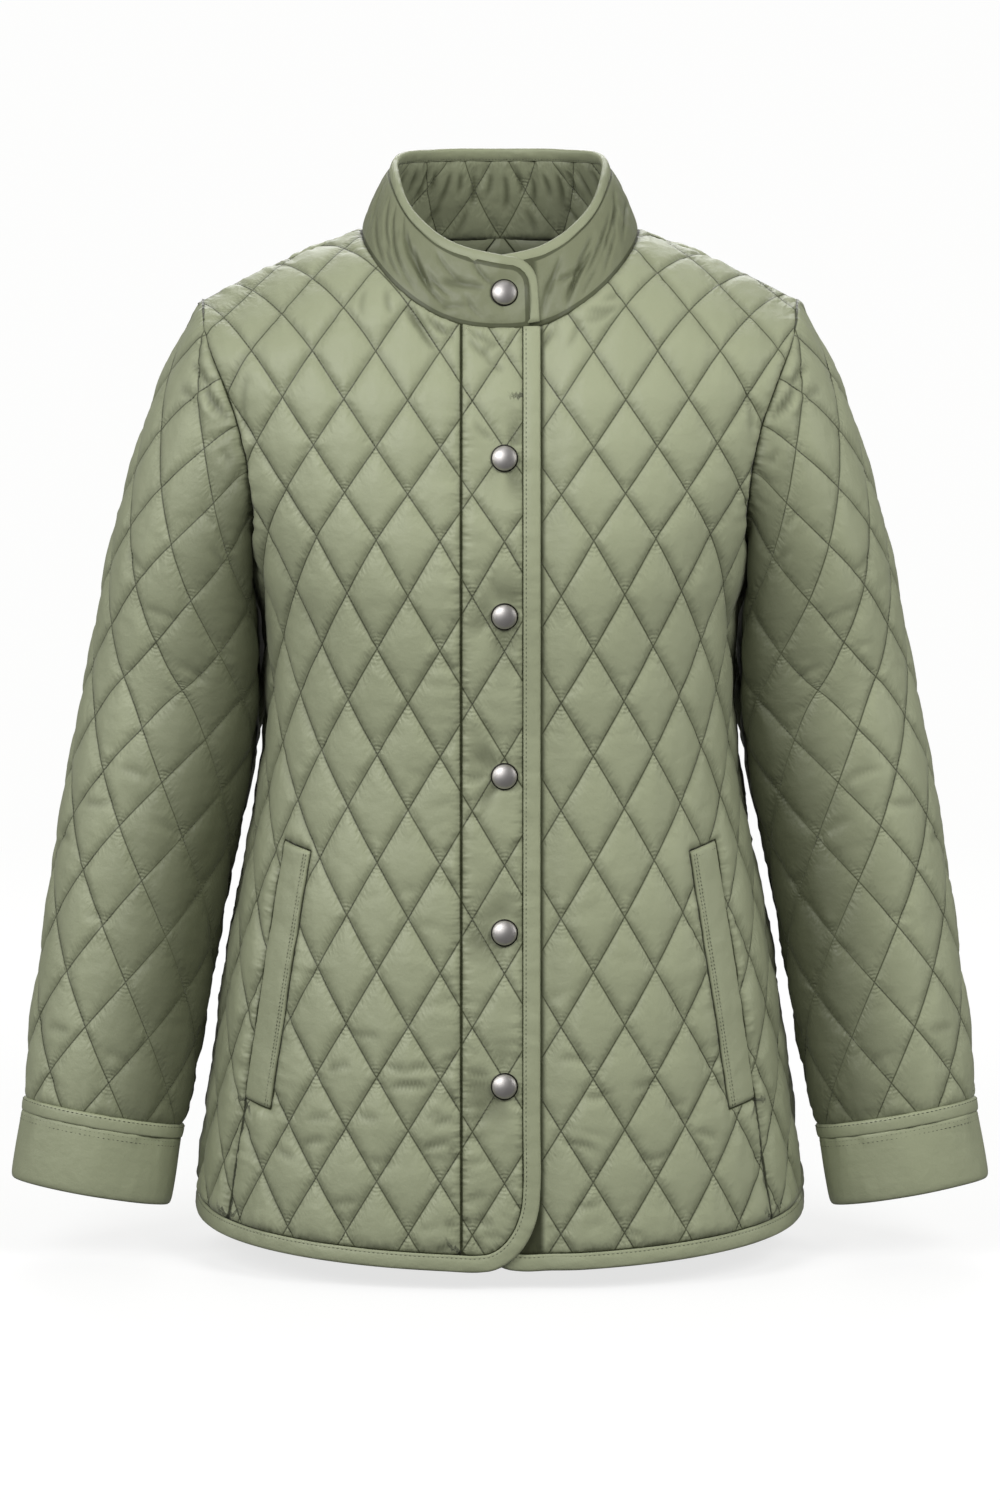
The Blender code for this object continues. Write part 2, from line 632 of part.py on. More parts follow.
def collar_ends(along):
    """Lower and upper edge of the collar at a distance from the middle of the back; it may pass the front."""
    share = np.abs(along) / COLLAR_HALF
    folded = np.where(share > 1, 2 - share, share)
    low = np.stack([np.interp(folded, np.linspace(0, 1, 121), NECK_RING[:, i]) for i in range(3)], axis=-1)
    top = smooth(COLLAR_TOP, folded)
    flip = np.where(share > 1, -1.0, 1.0) * np.where(along < 0, -1.0, 1.0)
    low[..., 0] *= flip
    top[..., 0] *= flip
    return low, top


def collar_height(along):
    low, top = collar_ends(np.asarray(along, float))
    return np.linalg.norm(top - low, axis=-1)


def collar_point(along, up):
    """Point of the collar's outer face; up is measured from the neck seam."""
    along, up = np.asarray(along, float), np.asarray(up, float)
    low, top = collar_ends(along)
    way = top - low
    way /= np.linalg.norm(way, axis=-1)[..., None]
    return low + way * up[..., None]


def collar_edge():
    """Finished edge of the collar: up the right end, over the top, down the left end."""
    end = COLLAR_HALF + FRONT_LAP
    height = float(collar_height(COLLAR_HALF))
    side = np.column_stack([np.full(4, -end), np.linspace(0.0, height - COLLAR_CORNER, 4)])
    turn = np.linspace(0, math.pi / 2, 6)[1:]
    corner = np.column_stack([-end + COLLAR_CORNER * (1 - np.cos(turn)),
                              height - COLLAR_CORNER + COLLAR_CORNER * np.sin(turn)])
    along = np.linspace(-end + COLLAR_CORNER, 0, 18)[1:]
    top = np.column_stack([along, collar_height(along)])
    half = np.vstack([side, corner, top])
    other = half[::-1][1:] * np.array([-1.0, 1.0])
    return np.vstack([half, other])[::-1]


# ---------------------------------------------------------------- quilted cloth

def inside(polygon, points):
    """Which points lie in a polygon."""
    x, y = points[:, 0], points[:, 1]
    result = np.zeros(len(points), bool)
    for (x0, y0), (x1, y1) in zip(polygon, np.roll(polygon, -1, axis=0)):
        crosses = (y0 > y) != (y1 > y)
        rise = np.where(crosses, y1 - y0, 1.0)
        result ^= crosses & (x < x0 + (y - y0) * (x1 - x0) / rise)
    return result


def edge_distance(polygon, points):
    """Distance of each point from a polygon's edges."""
    best = np.full(len(points), 1.0)
    for a, b in zip(polygon, np.roll(polygon, -1, axis=0)):
        run = b - a
        share = np.clip(((points - a) @ run) / max(run @ run, 1e-12), 0, 1)
        best = np.minimum(best, np.linalg.norm(points - a - share[:, None] * run, axis=1))
    return best


def triangles(points, edges, polygon, stretch):
    """Constrained triangulation, kept inside a polygon; stretch scales up for the choice of diagonals."""
    scale = np.array([1.0, stretch])
    found = delaunay_2d_cdt([Vector(p) for p in points * scale], edges, [], 0, POINT_MERGE)
    where = np.array([tuple(v) for v in found[0]]) / scale
    faces = np.array(found[2])
    faces = faces[inside(polygon, where[faces].mean(axis=1))]
    used, numbers = np.unique(faces, return_inverse=True)
    return where[used], numbers.reshape(-1, 3)


def rim_of(faces):
    """Numbers of the points round the edge of a flat piece, in order."""
    edges = {(face[i], face[(i + 1) % 3]) for face in faces.tolist() for i in range(3)}
    after = {a: b for a, b in edges if (b, a) not in edges}
    loop = [min(after)]
    while after[loop[-1]] != loop[0]:
        loop.append(after[loop[-1]])
    return loop


def body_row(up):
    """Row number of a flat height on the body, and beyond the table."""
    rows, heights = np.array(BODY_ROWS).T
    return np.interp(up, heights, rows)


def body_row_up(row):
    rows, heights = np.array(BODY_ROWS).T
    return np.interp(row, rows, heights)


class Quilt:
    """A net of stitch lines on a flat piece: column and row numbers, whole where lines cross."""

    def __init__(self, crossing, row_of, up_of):
        self.crossing, self.row_of, self.up_of = crossing, row_of, up_of

    def numbers(self, points):
        """Numbers of the two families of stitch lines at each point."""
        column = (points[:, 0] - self.crossing) / (0.5 * QUILT_WIDTH)
        row = self.row_of(points[:, 1])
        return 0.5 * (row + column), 0.5 * (row - column)

    def place(self, first, second):
        """Flat point for the two numbers."""
        column, row = first - second, first + second
        return np.stack([self.crossing + column * 0.5 * QUILT_WIDTH, self.up_of(row)], axis=-1)

    def rise(self, points):
        """Padding height at each point, from 0 on a stitch line to 1."""
        first, second = self.numbers(points)
        return np.sqrt(np.abs(np.sin(math.pi * first) * np.sin(math.pi * second)))


def even_rows(crossing_up, pitch):
    """Row numbers of evenly spaced rows, and their heights."""
    return (lambda up: (up - crossing_up) / pitch), (lambda row: crossing_up + row * pitch)


def net(quilt, polygon, bent):
    """Points and edges of the stitch lines over a polygon, the raised points, and middles of rhombs.

    Where the form is bent, each stitch line has a point between crossings and the rhombs have a middle.
    """
    first, second = quilt.numbers(polygon)
    low = np.floor([first.min(), second.min()]).astype(int) - 1
    high = np.ceil([first.max(), second.max()]).astype(int) + 1
    i, j = np.meshgrid(np.arange(low[0], high[0] + 1), np.arange(low[1], high[1] + 1), indexing="ij")
    points = [tuple(p) for p in quilt.place(i, j).reshape(-1, 2)]
    number = np.arange(i.size).reshape(i.shape)
    edges = []
    for step_i, step_j in ((1, 0), (0, 1)):
        end = number[step_i:, step_j:]
        start = number[: end.shape[0], : end.shape[1]]
        middles = quilt.place(i + 0.5 * step_i, j + 0.5 * step_j)[: end.shape[0], : end.shape[1]]
        middles = middles.reshape(-1, 2)
        for a, b, middle, is_bent in zip(start.flat, end.flat, middles, bent(middles)):
            if is_bent:
                edges += [(int(a), len(points)), (len(points), int(b))]
                points.append(tuple(middle))
            else:
                edges.append((int(a), int(b)))
    insets = (PUFF_INSET, 1 - PUFF_INSET)
    raised = np.concatenate([quilt.place(i + a, j + b).reshape(-1, 2) for a in insets for b in insets])
    middles = quilt.place(i + 0.5, j + 0.5).reshape(-1, 2)
    return np.array(points), edges, raised, middles[bent(middles)]


def body_bent(points):
    return points[:, 1] > BODY_BENT_UP


def sleeve_bent(points):
    return points[:, 1] > SLEEVE_BENT_UP


def never_bent(points):
    return np.zeros(len(points), bool)


def quilted(name, form, polygon, quilt, bent, mirrored=False, depth=None, puff=None, top=PUFF,
            flat_side=1.0, folds=None):
    """A quilted piece: raised between its stitch lines on one face, plain on the other."""
    stitches, stitch_edges, raised, middles = net(quilt, polygon, bent)
    folds = np.empty((0, 2)) if folds is None else folds
    raised = raised[inside(polygon, raised)]
    raised = np.vstack([raised[edge_distance(polygon, raised) > RAISED_MARGIN], folds])
    around = [(i, (i + 1) % len(polygon)) for i in range(len(polygon))]
    stitch_edges = [(a + len(polygon), b + len(polygon)) for a, b in stitch_edges]
    points = np.vstack([polygon, stitches, raised])
    upper, upper_faces = triangles(points, around + stitch_edges, polygon, 1.0)
    rim = rim_of(upper_faces)
    inner = np.vstack([stitches, middles, folds])
    inner = inner[inside(polygon, inner)]
    inner = inner[edge_distance(polygon, inner) > PLAIN_MARGIN]
    rim_edges = [(i, (i + 1) % len(rim)) for i in range(len(rim))]
    lower, lower_faces = triangles(np.vstack([upper[rim], inner]), rim_edges, upper[rim], 0.5)

    pad = quilt.rise(upper) * fade(edge_distance(polygon, upper) / SEAM_FADE)
    if puff is not None:
        pad = pad * puff(upper)
    sink = depth(upper) if depth else np.zeros(len(upper))
    sink_low = depth(lower) if depth else np.zeros(len(lower))
    above = laid(form, upper[:, 0], upper[:, 1], flat_side * (CLOTH + top * pad) - sink)
    below = laid(form, lower[:, 0], lower[:, 1], -sink_low)
    under = [len(upper) + i for i in match_points(upper[rim], lower)]
    faces = [tuple(face) for face in upper_faces]
    faces += [tuple(len(upper) + i for i in reversed(face)) for face in lower_faces]
    faces += [(rim[b], rim[a], under[a], under[b]) for a, b in rim_edges]
    return make_mesh(name, np.vstack([above, below]), faces, "quilted_cloth", mirrored)


def match_points(wanted, among):
    """Number of the nearest point for each."""
    return [int(np.argmin(np.sum((among - p) ** 2, axis=1))) for p in wanted]


# ---------------------------------------------------------------- strips, cuffs, snaps

def make_mesh(name, points, faces, finish, mirrored=False, round_piece=False):
    """A named object with its material; loose points are dropped and faces turned to face out."""
    if mirrored:
        points = points * np.array([-1.0, 1.0, 1.0])
    mesh = bpy.data.meshes.new(name)
    mesh.from_pydata([tuple(p) for p in points], [], [tuple(int(i) for i in f) for f in faces])
    work = bmesh.new()
    work.from_mesh(mesh)
    bmesh.ops.delete(work, geom=[v for v in work.verts if not v.link_faces], context="VERTS")
    bmesh.ops.triangulate(work, faces=[f for f in work.faces if len(f.verts) > 3])
    bmesh.ops.recalc_face_normals(work, faces=work.faces)
    work.to_mesh(mesh)
    work.free()
    if round_piece:
        mesh.shade_smooth()
    mesh.materials.append(MATERIALS[finish])
    obj = bpy.data.objects.new(name, mesh)
    COLLECTION.objects.link(obj)
    return obj


def swept(name, rings, finish, closed, mirrored=False, round_piece=False):
    """A solid from a row of sections with the same number of points."""
    rings = np.asarray(rings)
    count, sides = rings.shape[:2]
    faces = []
    for i in range(count if closed else count - 1):
        for j in range(sides):
            a, b = i * sides + j, i * sides + (j + 1) % sides
            c, d = (i + 1) % count * sides + (j + 1) % sides, (i + 1) % count * sides + j
            faces.append((a, b, c, d))
    if not closed:
        faces.append(tuple(range(sides))[::-1])
        faces.append(tuple((count - 1) * sides + j for j in range(sides)))
    return make_mesh(name, rings.reshape(-1, 3), faces, finish, mirrored, round_piece)


def binding(name, form, path, width, mirrored=False, depth=None, side=1.0):
    """A folded strip along a finished edge, rounded at the fold."""
    columns = []
    for across, out in BINDING_SECTION:
        line = moved_in(path, across * width)
        sink = depth(line) if depth else np.zeros(len(line))
        columns.append(laid(form, line[:, 0], line[:, 1], side * out * BINDING_THICK - sink))
    return swept(name, np.stack(columns, axis=1), "plain_cloth", False, mirrored)


def tube(name, levels, thickness, mirrored):
    """A band round a sleeve between two distances from the shoulder."""
    low, high = levels
    rounding = CUFF_ROUNDING
    section = ((low, 0.0), (low, thickness - rounding), (low + rounding, thickness),
               (high - rounding, thickness), (high, thickness - rounding), (high, 0.0))
    share = np.arange(CUFF_SIDES) / CUFF_SIDES
    columns = []
    for level, out in section:
        along = (share - 0.25) * girth_at(level)
        columns.append(laid(sleeve_point, along, np.full(CUFF_SIDES, -level), out))
    return swept(name, np.stack(columns, axis=1), "plain_cloth", True, mirrored)


def welt(name, mirrored):
    """The plain welt in its cut in the front, with rounded long edges."""
    low, up, inward, length = welt_frame()
    across, out = np.array(WELT_SECTION).T
    rings = []
    for distance in np.linspace(0, length, WELT_RINGS):
        flat = low + up * distance + np.outer(across * WELT_WIDTH, inward)
        rings.append(laid(front_point, flat[:, 0], flat[:, 1], out * WELT_THICK))
    return swept(name, rings, "plain_cloth", False, mirrored)


def snap(name, place, way):
    """A domed cap turned round its own axis, which points away from the cloth."""
    mesh = bpy.data.meshes.new(name)
    points = [(SNAP_RADIUS * r, 0.0, h) for r, h in SNAP_PROFILE]
    mesh.from_pydata(points, [(i, i + 1) for i in range(len(points) - 1)], [])
    obj = bpy.data.objects.new(name, mesh)
    COLLECTION.objects.link(obj)
    turn = obj.modifiers.new("turn", "SCREW")
    turn.steps = turn.render_steps = SNAP_SIDES
    turn.use_merge_vertices = True
    turn.merge_threshold = 0.00005
    turn.use_normal_calculate = True
    obj.rotation_mode = "QUATERNION"
    obj.rotation_quaternion = Vector((0, 0, 1)).rotation_difference(Vector(way))
    obj.location = Vector(place)
    bpy.context.view_layer.update()
    cap = bpy.data.meshes.new_from_object(obj.evaluated_get(bpy.context.evaluated_depsgraph_get()))
    cap.transform(obj.matrix_world)
    cap.materials.clear()
    cap.materials.append(MATERIALS["snap_metal"])
    obj.modifiers.clear()
    obj.data = cap
    obj.rotation_quaternion = (1, 0, 0, 0)
    obj.location = (0, 0, 0)
    work = bmesh.new()
    work.from_mesh(cap)
    bmesh.ops.recalc_face_normals(work, faces=work.faces)
    work.to_mesh(cap)
    work.free()
    cap.shade_smooth()
    return obj


# ---------------------------------------------------------------- the pieces

def lap_sink(points):
    """How deep the left front lies under the placket."""
    return UNDERLAP * (1 - fade((points[:, 0] - PLACKET_SEAM) / UNDERLAP_FADE))


def lap_puff(points):
    return LAP_PUFF + (1 - LAP_PUFF) * fade((points[:, 0] - PLACKET_SEAM) / UNDERLAP_FADE)


def placket_puff(points):
    """Padding of the placket, pressed down round the snaps."""
    share = np.ones(len(points))
    for height in SNAP_HEIGHTS:
        distance = np.linalg.norm(points - np.array([SNAP_ALONG, height]), axis=1)
        share = np.minimum(share, fade((distance - SNAP_RADIUS) / SNAP_PRESS))
    return PLACKET_PUFF * share


def front_lower(line):
    """The part of a front's inner binding line that runs along the bottom, as along and up."""
    return line[np.argmax(np.diff(line[:, 0]) > 1e-6):]


def front_outline(first, with_placket):
    """A front cut flat, from a distance beside the middle to the side seam."""
    inner = moved_in(front_edge(), EDGE_BINDING + SEAM_GAP)
    lower = front_lower(inner)
    foot_inner, foot_outer, notch = welt_notch(lower)
    if with_placket:
        start = np.array([[first, np.interp(first, lower[:, 0], lower[:, 1])]])
        lead = lower[(lower[:, 0] > first + CORNER_CLEAR) & (lower[:, 0] < foot_inner - CORNER_CLEAR)]
        lead = np.vstack([start, lead])
    else:
        edge = inner[inner[:, 1] < float(neck_up(False, first)) - NECK_CLEAR]
        lead = edge[edge[:, 0] < foot_inner - CORNER_CLEAR]
    tail = lower[lower[:, 0] > foot_outer + CORNER_CLEAR][:-1]
    low = lower[-1, 1]
    side = side_seam(False, low, 20) - np.array([SIDE_GAP, 0])
    arm = armhole(False)[::-1][1:]
    shoulder = shoulder_seam(False, 7)[1:] - np.array([0, SIDE_GAP])
    arm[-1, 1] -= SIDE_GAP
    neck = neck_seam(False, first, neck_corner(False)[0], 16)[::-1][1:]
    closing = np.empty((0, 2))
    if with_placket:
        up = np.linspace(neck[-1, 1], start[0, 1], 22)[1:-1]
        closing = np.column_stack([np.full(len(up), first), up])
    return np.vstack([lead, notch, tail, side, arm, shoulder, neck, closing])


def placket_outline():
    """The placket cut flat: between the front edge's binding and the seam of the right front."""
    inner = moved_in(front_edge(), EDGE_BINDING + SEAM_GAP)
    seam = PLACKET_SEAM - SEAM_GAP
    edge = inner[inner[:, 0] < seam - CORNER_CLEAR]
    edge = edge[edge[:, 1] < float(neck_up(False, FRONT_LAP)) - NECK_CLEAR]
    lower = front_lower(inner)
    low = np.interp(seam, lower[:, 0], lower[:, 1])
    top = neck_seam(False, edge[0, 0], seam, 5)[::-1]
    closing = np.column_stack([np.full(21, seam), np.linspace(low, top[0, 1], 22)[:-1]])
    return np.vstack([edge, closing, top])


def back_outline():
    """The back cut flat."""
    hem = moved_in(back_hem(), EDGE_BINDING + SEAM_GAP)
    side = side_seam(True, hem[-1, 1], 20) - np.array([SIDE_GAP, 0])
    arm = armhole(True)[::-1][1:]
    arm[-1, 1] -= SIDE_GAP
    shoulder = shoulder_seam(True, 7)[1:] - np.array([0, SIDE_GAP])
    neck = neck_seam(True, 0.0, neck_corner(True)[0], 12)[::-1][1:]
    right = np.vstack([side, arm, shoulder, neck])
    left = right[::-1][1:] * np.array([-1.0, 1.0])
    return np.vstack([hem[1:-1], right, left])


def collar_outline():
    """The collar cut flat, inside its binding."""
    inner = moved_in(collar_edge(), COLLAR_BINDING + SEAM_GAP)
    along = np.linspace(inner[-1, 0], inner[0, 0], 41)[1:-1]
    bottom = np.column_stack([along, np.zeros(len(along))])
    inner[0, 1] = inner[-1, 1] = 0.0
    return np.vstack([inner, bottom])


def collar_sink(points):
    """The collar's left end lies deeper, under its right end."""
    past = points[:, 0] - (COLLAR_HALF - FRONT_LAP)
    return COLLAR_UNDERLAP * fade((past + UNDERLAP_FADE) / UNDERLAP_FADE)


def collar_puff(points):
    past = np.abs(points[:, 0]) - (COLLAR_HALF - FRONT_LAP)
    return 1 - (1 - LAP_PUFF) * fade((past + UNDERLAP_FADE) / UNDERLAP_FADE)


def body_quilt(crossing):
    return Quilt(crossing, body_row, body_row_up)


def build_body():
    right, left = body_quilt(RIGHT_CROSSING), body_quilt(LEFT_CROSSING)
    left_first = -FRONT_LAP + EDGE_BINDING + SEAM_GAP
    quilted("front_right", front_point, front_outline(PLACKET_SEAM, True), right, body_bent, True)
    quilted("placket_right", front_point, placket_outline(), right, body_bent, True, puff=placket_puff)
    quilted("front_left", front_point, front_outline(left_first, False), left, body_bent,
            depth=lap_sink, puff=lap_puff)
    quilted("back", back_point, back_outline(), body_quilt(0.0), body_bent)
    binding("binding_front_right", front_point, front_edge(), EDGE_BINDING, True)
    binding("binding_front_left", front_point, front_edge(), EDGE_BINDING, depth=lap_sink)
    binding("binding_hem", back_point, back_hem(), EDGE_BINDING)
    welt("welt_right", True)
    welt("welt_left", False)


def build_sleeves():
    rows = even_rows(SLEEVE_CROSSING, SLEEVE_ROW)
    outline = sleeve_outline()
    for side, mirrored in (("right", True), ("left", False)):
        quilted("sleeve_" + side, sleeve_point, outline, Quilt(0.0, *rows), sleeve_bent, mirrored,
                folds=sleeve_folds())
        tube("cuff_strip_" + side, CUFF_STRIP, STRIP_THICK, mirrored)
        tube("cuff_" + side, CUFF, CUFF_THICK, mirrored)


def build_collar():
    rows = even_rows(0.0, SLEEVE_ROW)
    quilted("collar", collar_point, collar_outline(), Quilt(0.0, *rows), never_bent, depth=collar_sink,
            puff=collar_puff, top=COLLAR_PUFF, flat_side=-1.0)
    binding("binding_collar", collar_point, collar_edge(), COLLAR_BINDING, depth=collar_sink, side=-1.0)


def build_snaps():
    """The caps: one on the collar's right end, the others down the placket, which is a mirrored piece."""
    places = [(collar_point, -COLLAR_HALF + SNAP_ALONG, SNAP_COLLAR_UP, SNAP_SEAT, 1.0)]
    places += [(front_point, SNAP_ALONG, height, CLOTH + SNAP_SEAT, -1.0) for height in SNAP_HEIGHTS]
    for number, (form, along, up, lift, flip) in enumerate(places, 1):
        mirror = np.array([flip, 1.0, 1.0])
        foot = laid(form, along, up, lift)[0]
        way = laid(form, along, up, lift + 1.0)[0] - foot
        snap("snap_%d" % number, foot * mirror, way * mirror)


def clear_scene():
    for obj in list(bpy.data.objects):
        bpy.data.objects.remove(obj, do_unlink=True)


def make_materials():
    made = {}
    for name, (colour, roughness, metallic) in FINISHES.items():
        material = bpy.data.materials.new(name)
        material.use_nodes = True
        shader = material.node_tree.nodes["Principled BSDF"]
        shader.inputs["Base Color"].default_value = colour
        shader.inputs["Roughness"].default_value = roughness
        shader.inputs["Metallic"].default_value = metallic
        made[name] = material
    return made


clear_scene()
MATERIALS = make_materials()
COLLECTION = bpy.data.collections.new("quilted_jacket")
bpy.context.scene.collection.children.link(COLLECTION)
build_body()
build_sleeves()
build_collar()
build_snaps()
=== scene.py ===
"""Looks of a quilted jacket: fine padded panels, sewing, bindings, cuffs, snaps, cloth and metal.

Frame: metres, +Z up, -Y the front, +X the wearer's left. The origin is the middle of the neck, level
with the shoulder seams. Each cloth piece is drawn flat, as it would be cut, and then laid on the body,
sleeve or collar form. A flat point is (along, up): the distance round the form and the height on it.
"""

import math

import bmesh
import bpy
import numpy as np
from mathutils import Euler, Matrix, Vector
from mathutils.geometry import delaunay_2d_cdt


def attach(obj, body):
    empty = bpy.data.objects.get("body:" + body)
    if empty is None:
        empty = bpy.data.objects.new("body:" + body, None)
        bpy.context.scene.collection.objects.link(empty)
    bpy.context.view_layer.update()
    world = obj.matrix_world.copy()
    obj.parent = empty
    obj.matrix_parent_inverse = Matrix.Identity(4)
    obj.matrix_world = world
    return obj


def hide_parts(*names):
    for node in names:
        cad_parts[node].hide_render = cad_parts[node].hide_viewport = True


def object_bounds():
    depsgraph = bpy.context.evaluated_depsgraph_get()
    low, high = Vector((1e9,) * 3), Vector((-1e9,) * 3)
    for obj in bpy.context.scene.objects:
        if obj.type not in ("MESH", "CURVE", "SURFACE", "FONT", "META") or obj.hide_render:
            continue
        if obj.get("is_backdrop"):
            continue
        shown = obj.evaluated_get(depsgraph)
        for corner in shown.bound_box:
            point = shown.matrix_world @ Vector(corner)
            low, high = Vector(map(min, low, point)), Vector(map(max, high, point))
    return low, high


# Cloth
CLOTH = 0.0016              # thickness at a stitch line or a seam
SEAM_GAP = 0.0004           # clear distance between two sewn pieces
COLLAR_GAP = 0.0009         # the same at the neck seam, where the pieces meet at an angle
STEP = 0.002                # distance used for slopes on a form
LINE_STEPS = 401            # places tried where a point on a line is looked up

# Quilting
QUILT_WIDTH = 0.043         # a rhomb from corner to corner, across
SLEEVE_ROW = 0.0347         # half a rhomb's height on a sleeve and on the collar
BODY_ROWS = (               # stitch crossings on the body: row number, height
    (-13, -0.7293), (-11, -0.6593), (-7, -0.5191), (0, -0.2652), (2, -0.1916), (6, -0.0691), (14, 0.1789),
)
RIGHT_CROSSING = -0.003     # along, of a crossing in row 0 of the right front
LEFT_CROSSING = 0.0625      # along, of a crossing in row 0 of the left front
SLEEVE_CROSSING = -0.183    # up, of a crossing on a sleeve's front line
SIDE_GAP = 0.5 * SEAM_GAP

# Body form, the inner face of the cloth: height, half width, depth in front, depth behind
BODY = (
    (-0.740, 0.2090, 0.150, 0.137),
    (-0.665, 0.2050, 0.150, 0.136),
    (-0.630, 0.2005, 0.149, 0.134),
    (-0.561, 0.1915, 0.146, 0.129),
    (-0.492, 0.1820, 0.141, 0.122),
    (-0.4225, 0.1690, 0.135, 0.113),
    (-0.371, 0.1600, 0.131, 0.107),
    (-0.330, 0.1560, 0.130, 0.104),
    (-0.290, 0.1555, 0.132, 0.104),
    (-0.250, 0.1585, 0.135, 0.107),
    (-0.225, 0.1665, 0.136, 0.110),
    (-0.200, 0.1745, 0.135, 0.112),
    (-0.160, 0.1930, 0.129, 0.111),
    (-0.100, 0.2130, 0.115, 0.103),
    (-0.050, 0.2350, 0.090, 0.088),
    (0.000, 0.2450, 0.078, 0.074),
    (0.040, 0.2500, 0.070, 0.066),
)
BODY_SQUARENESS = 2.4       # exponent of the body's sections, 2 being an ellipse
NECK_HALF = 0.093           # half width of the neck at the shoulder seams
SHOULDER_HALF = 0.206       # half width at the shoulder points
SHOULDER_SLOPE = 0.395      # fall of the shoulder line
SHOULDER_BEND = 0.060       # height over which the body turns in to the shoulder line
SHOULDER_BACK = 0.006       # the shoulder seam lies this far behind the middle
NECK_FRONT = -0.053         # height of the neck seam at the front
NECK_BACK = -0.012          # height of the neck seam behind
NECK_SQUARENESS = 2.3
UNDERARM = -0.225           # height of the armhole's lowest point

# Armholes on the flat pieces, from shoulder to underarm: along, up (the ends are worked out)
ARMHOLE_FRONT = ((0.206, -0.057), (0.194, -0.093), (0.185, -0.120), (0.180, -0.158), (0.190, -0.197))
ARMHOLE_BACK = ((0.208, -0.060), (0.200, -0.098), (0.195, -0.135), (0.195, -0.172), (0.205, -0.203))
ARMHOLE_POINTS = 22

# Front edges and hem
FRONT_LAP = 0.027           # each front passes the middle by this much
PLACKET_SEAM = 0.026        # seam between placket and right front
EDGE_BINDING = 0.011        # width of the binding on front edges and hem
COLLAR_BINDING = 0.0085
BINDING_THICK = 0.0032
BINDING_END = 0.0006        # the hem bindings end this far short of the side seams
CORNER_ALONG = 0.040        # size of the rounded lower front corners
CORNER_UP = 0.055
HEM_MIDDLE = -0.685         # height of the hem at the middle of the front
HEM_RISE = 0.020            # the hem is this much higher at the side seams
EDGE_POINTS = 14            # points down the straight part of a front edge
CORNER_POINTS = 8
HEM_POINTS = 13             # points along the hem of a front
CORNER_CLEAR = 0.003        # points nearer than this to a corner of an outline are left out
NECK_CLEAR = 0.010          # and on a front edge this near to the neck seam
UNDERLAP = 0.0044           # the left front lies this much deeper under the placket
UNDERLAP_FADE = 0.030
LAP_PUFF = 0.3              # padding left where the fronts lap, as a share

# Pocket welts on the fronts: middle of the upper end, middle of the lower end, width
WELT_TOP = (0.1468, -0.405)
WELT_LOW = (0.1760, -0.5795)
WELT_WIDTH = 0.025
WELT_THICK = 0.0032
WELT_DROP = 0.2             # the seam below a welt is followed down this far for the hem

# Sleeve form: distance from the shoulder point, middle outwards, middle backwards, half width, half depth
SLEEVE_TILT = math.radians(10)
SLEEVE = (
    (0.1956, -0.0345, 0.007, 0.0610, 0.0745),
    (0.2230, -0.0370, 0.009, 0.0636, 0.0725),
    (0.2499, -0.0380, 0.010, 0.0650, 0.0702),
    (0.2850, -0.0372, 0.008, 0.0649, 0.0675),
    (0.3213, -0.0343, 0.005, 0.0625, 0.0648),
    (0.3737, -0.0319, 0.000, 0.0598, 0.0610),
    (0.4437, -0.0330, -0.008, 0.0587, 0.0560),
    (0.5141, -0.0327, -0.016, 0.0558, 0.0500),
    (0.5492, -0.0332, -0.020, 0.0530, 0.0460),
    (0.6200, -0.0334, -0.027, 0.0520, 0.0420),
)
SLEEVE_CLEAR = 0.0128       # the sleeve form keeps this far from the body form, which leaves room for padding
SLEEVE_CLEAR_BLEND = 0.006
SLEEVE_HEAD_DROP = 0.0490   # the sleeve's distances start this far below the origin
SLEEVE_END = 0.5515
CUFF_STRIP = (0.5519, 0.5612)
CUFF = (0.5616, 0.6075)
CUFF_THICK = 0.0030
STRIP_THICK = 0.0042
CAP_PULL = 0.28             # how far a sleeve runs straight out of the armhole
CAP_PULL_UNDER = 0.47       # and at the underarm point
CAP_PULL_POWER = 3          # higher keeps that to a shorter part of the armhole
CAP_FALL = 0.75             # how steeply it falls there at the shoulder point
CAP_SPLAY = 0.2             # and how much it turns to the front and back beside it
CAP_MEET = 0.9              # pull of the sleeve's first section on the lines that come from the armhole
CAP_ROWS = 49

# Collar: its upper edge, from the middle of the back (0) to the middle of the front (1)
COLLAR_TOP = (
    (0.00, 0.000, 0.064, 0.0510),
    (0.22, 0.042, 0.054, 0.0515),
    (0.42, 0.069, 0.022, 0.0510),
    (0.58, 0.069, -0.012, 0.0400),
    (0.74, 0.057, -0.044, 0.0195),
    (0.87, 0.034, -0.067, 0.0030),
    (1.00, 0.000, -0.078, -0.0060),
)
COLLAR_CORNER = 0.022
COLLAR_UNDERLAP = 0.0034

# Snaps: height of each on the placket, the first on the collar
SNAP_ALONG = -0.003
SNAP_COLLAR_UP = 0.022
SNAP_HEIGHTS = (-0.137, -0.2415, -0.3505, -0.4555, -0.5585)
SNAP_RADIUS = 0.0092
PLACKET_PUFF = 0.8          # padding of the placket, as a share
SNAP_PRESS = 0.030          # the padding is pressed down within this distance of a snap
SNAP_SEAT = 0.0006          # a cap's foot stands this far off the cloth


def unit(rows):
    """Directions made one long."""
    return rows / np.linalg.norm(rows, axis=-1)[..., None]


def pairs(first, second):
    """Flat points from two numbers or rows of numbers."""
    return np.column_stack(np.broadcast_arrays(first, second))


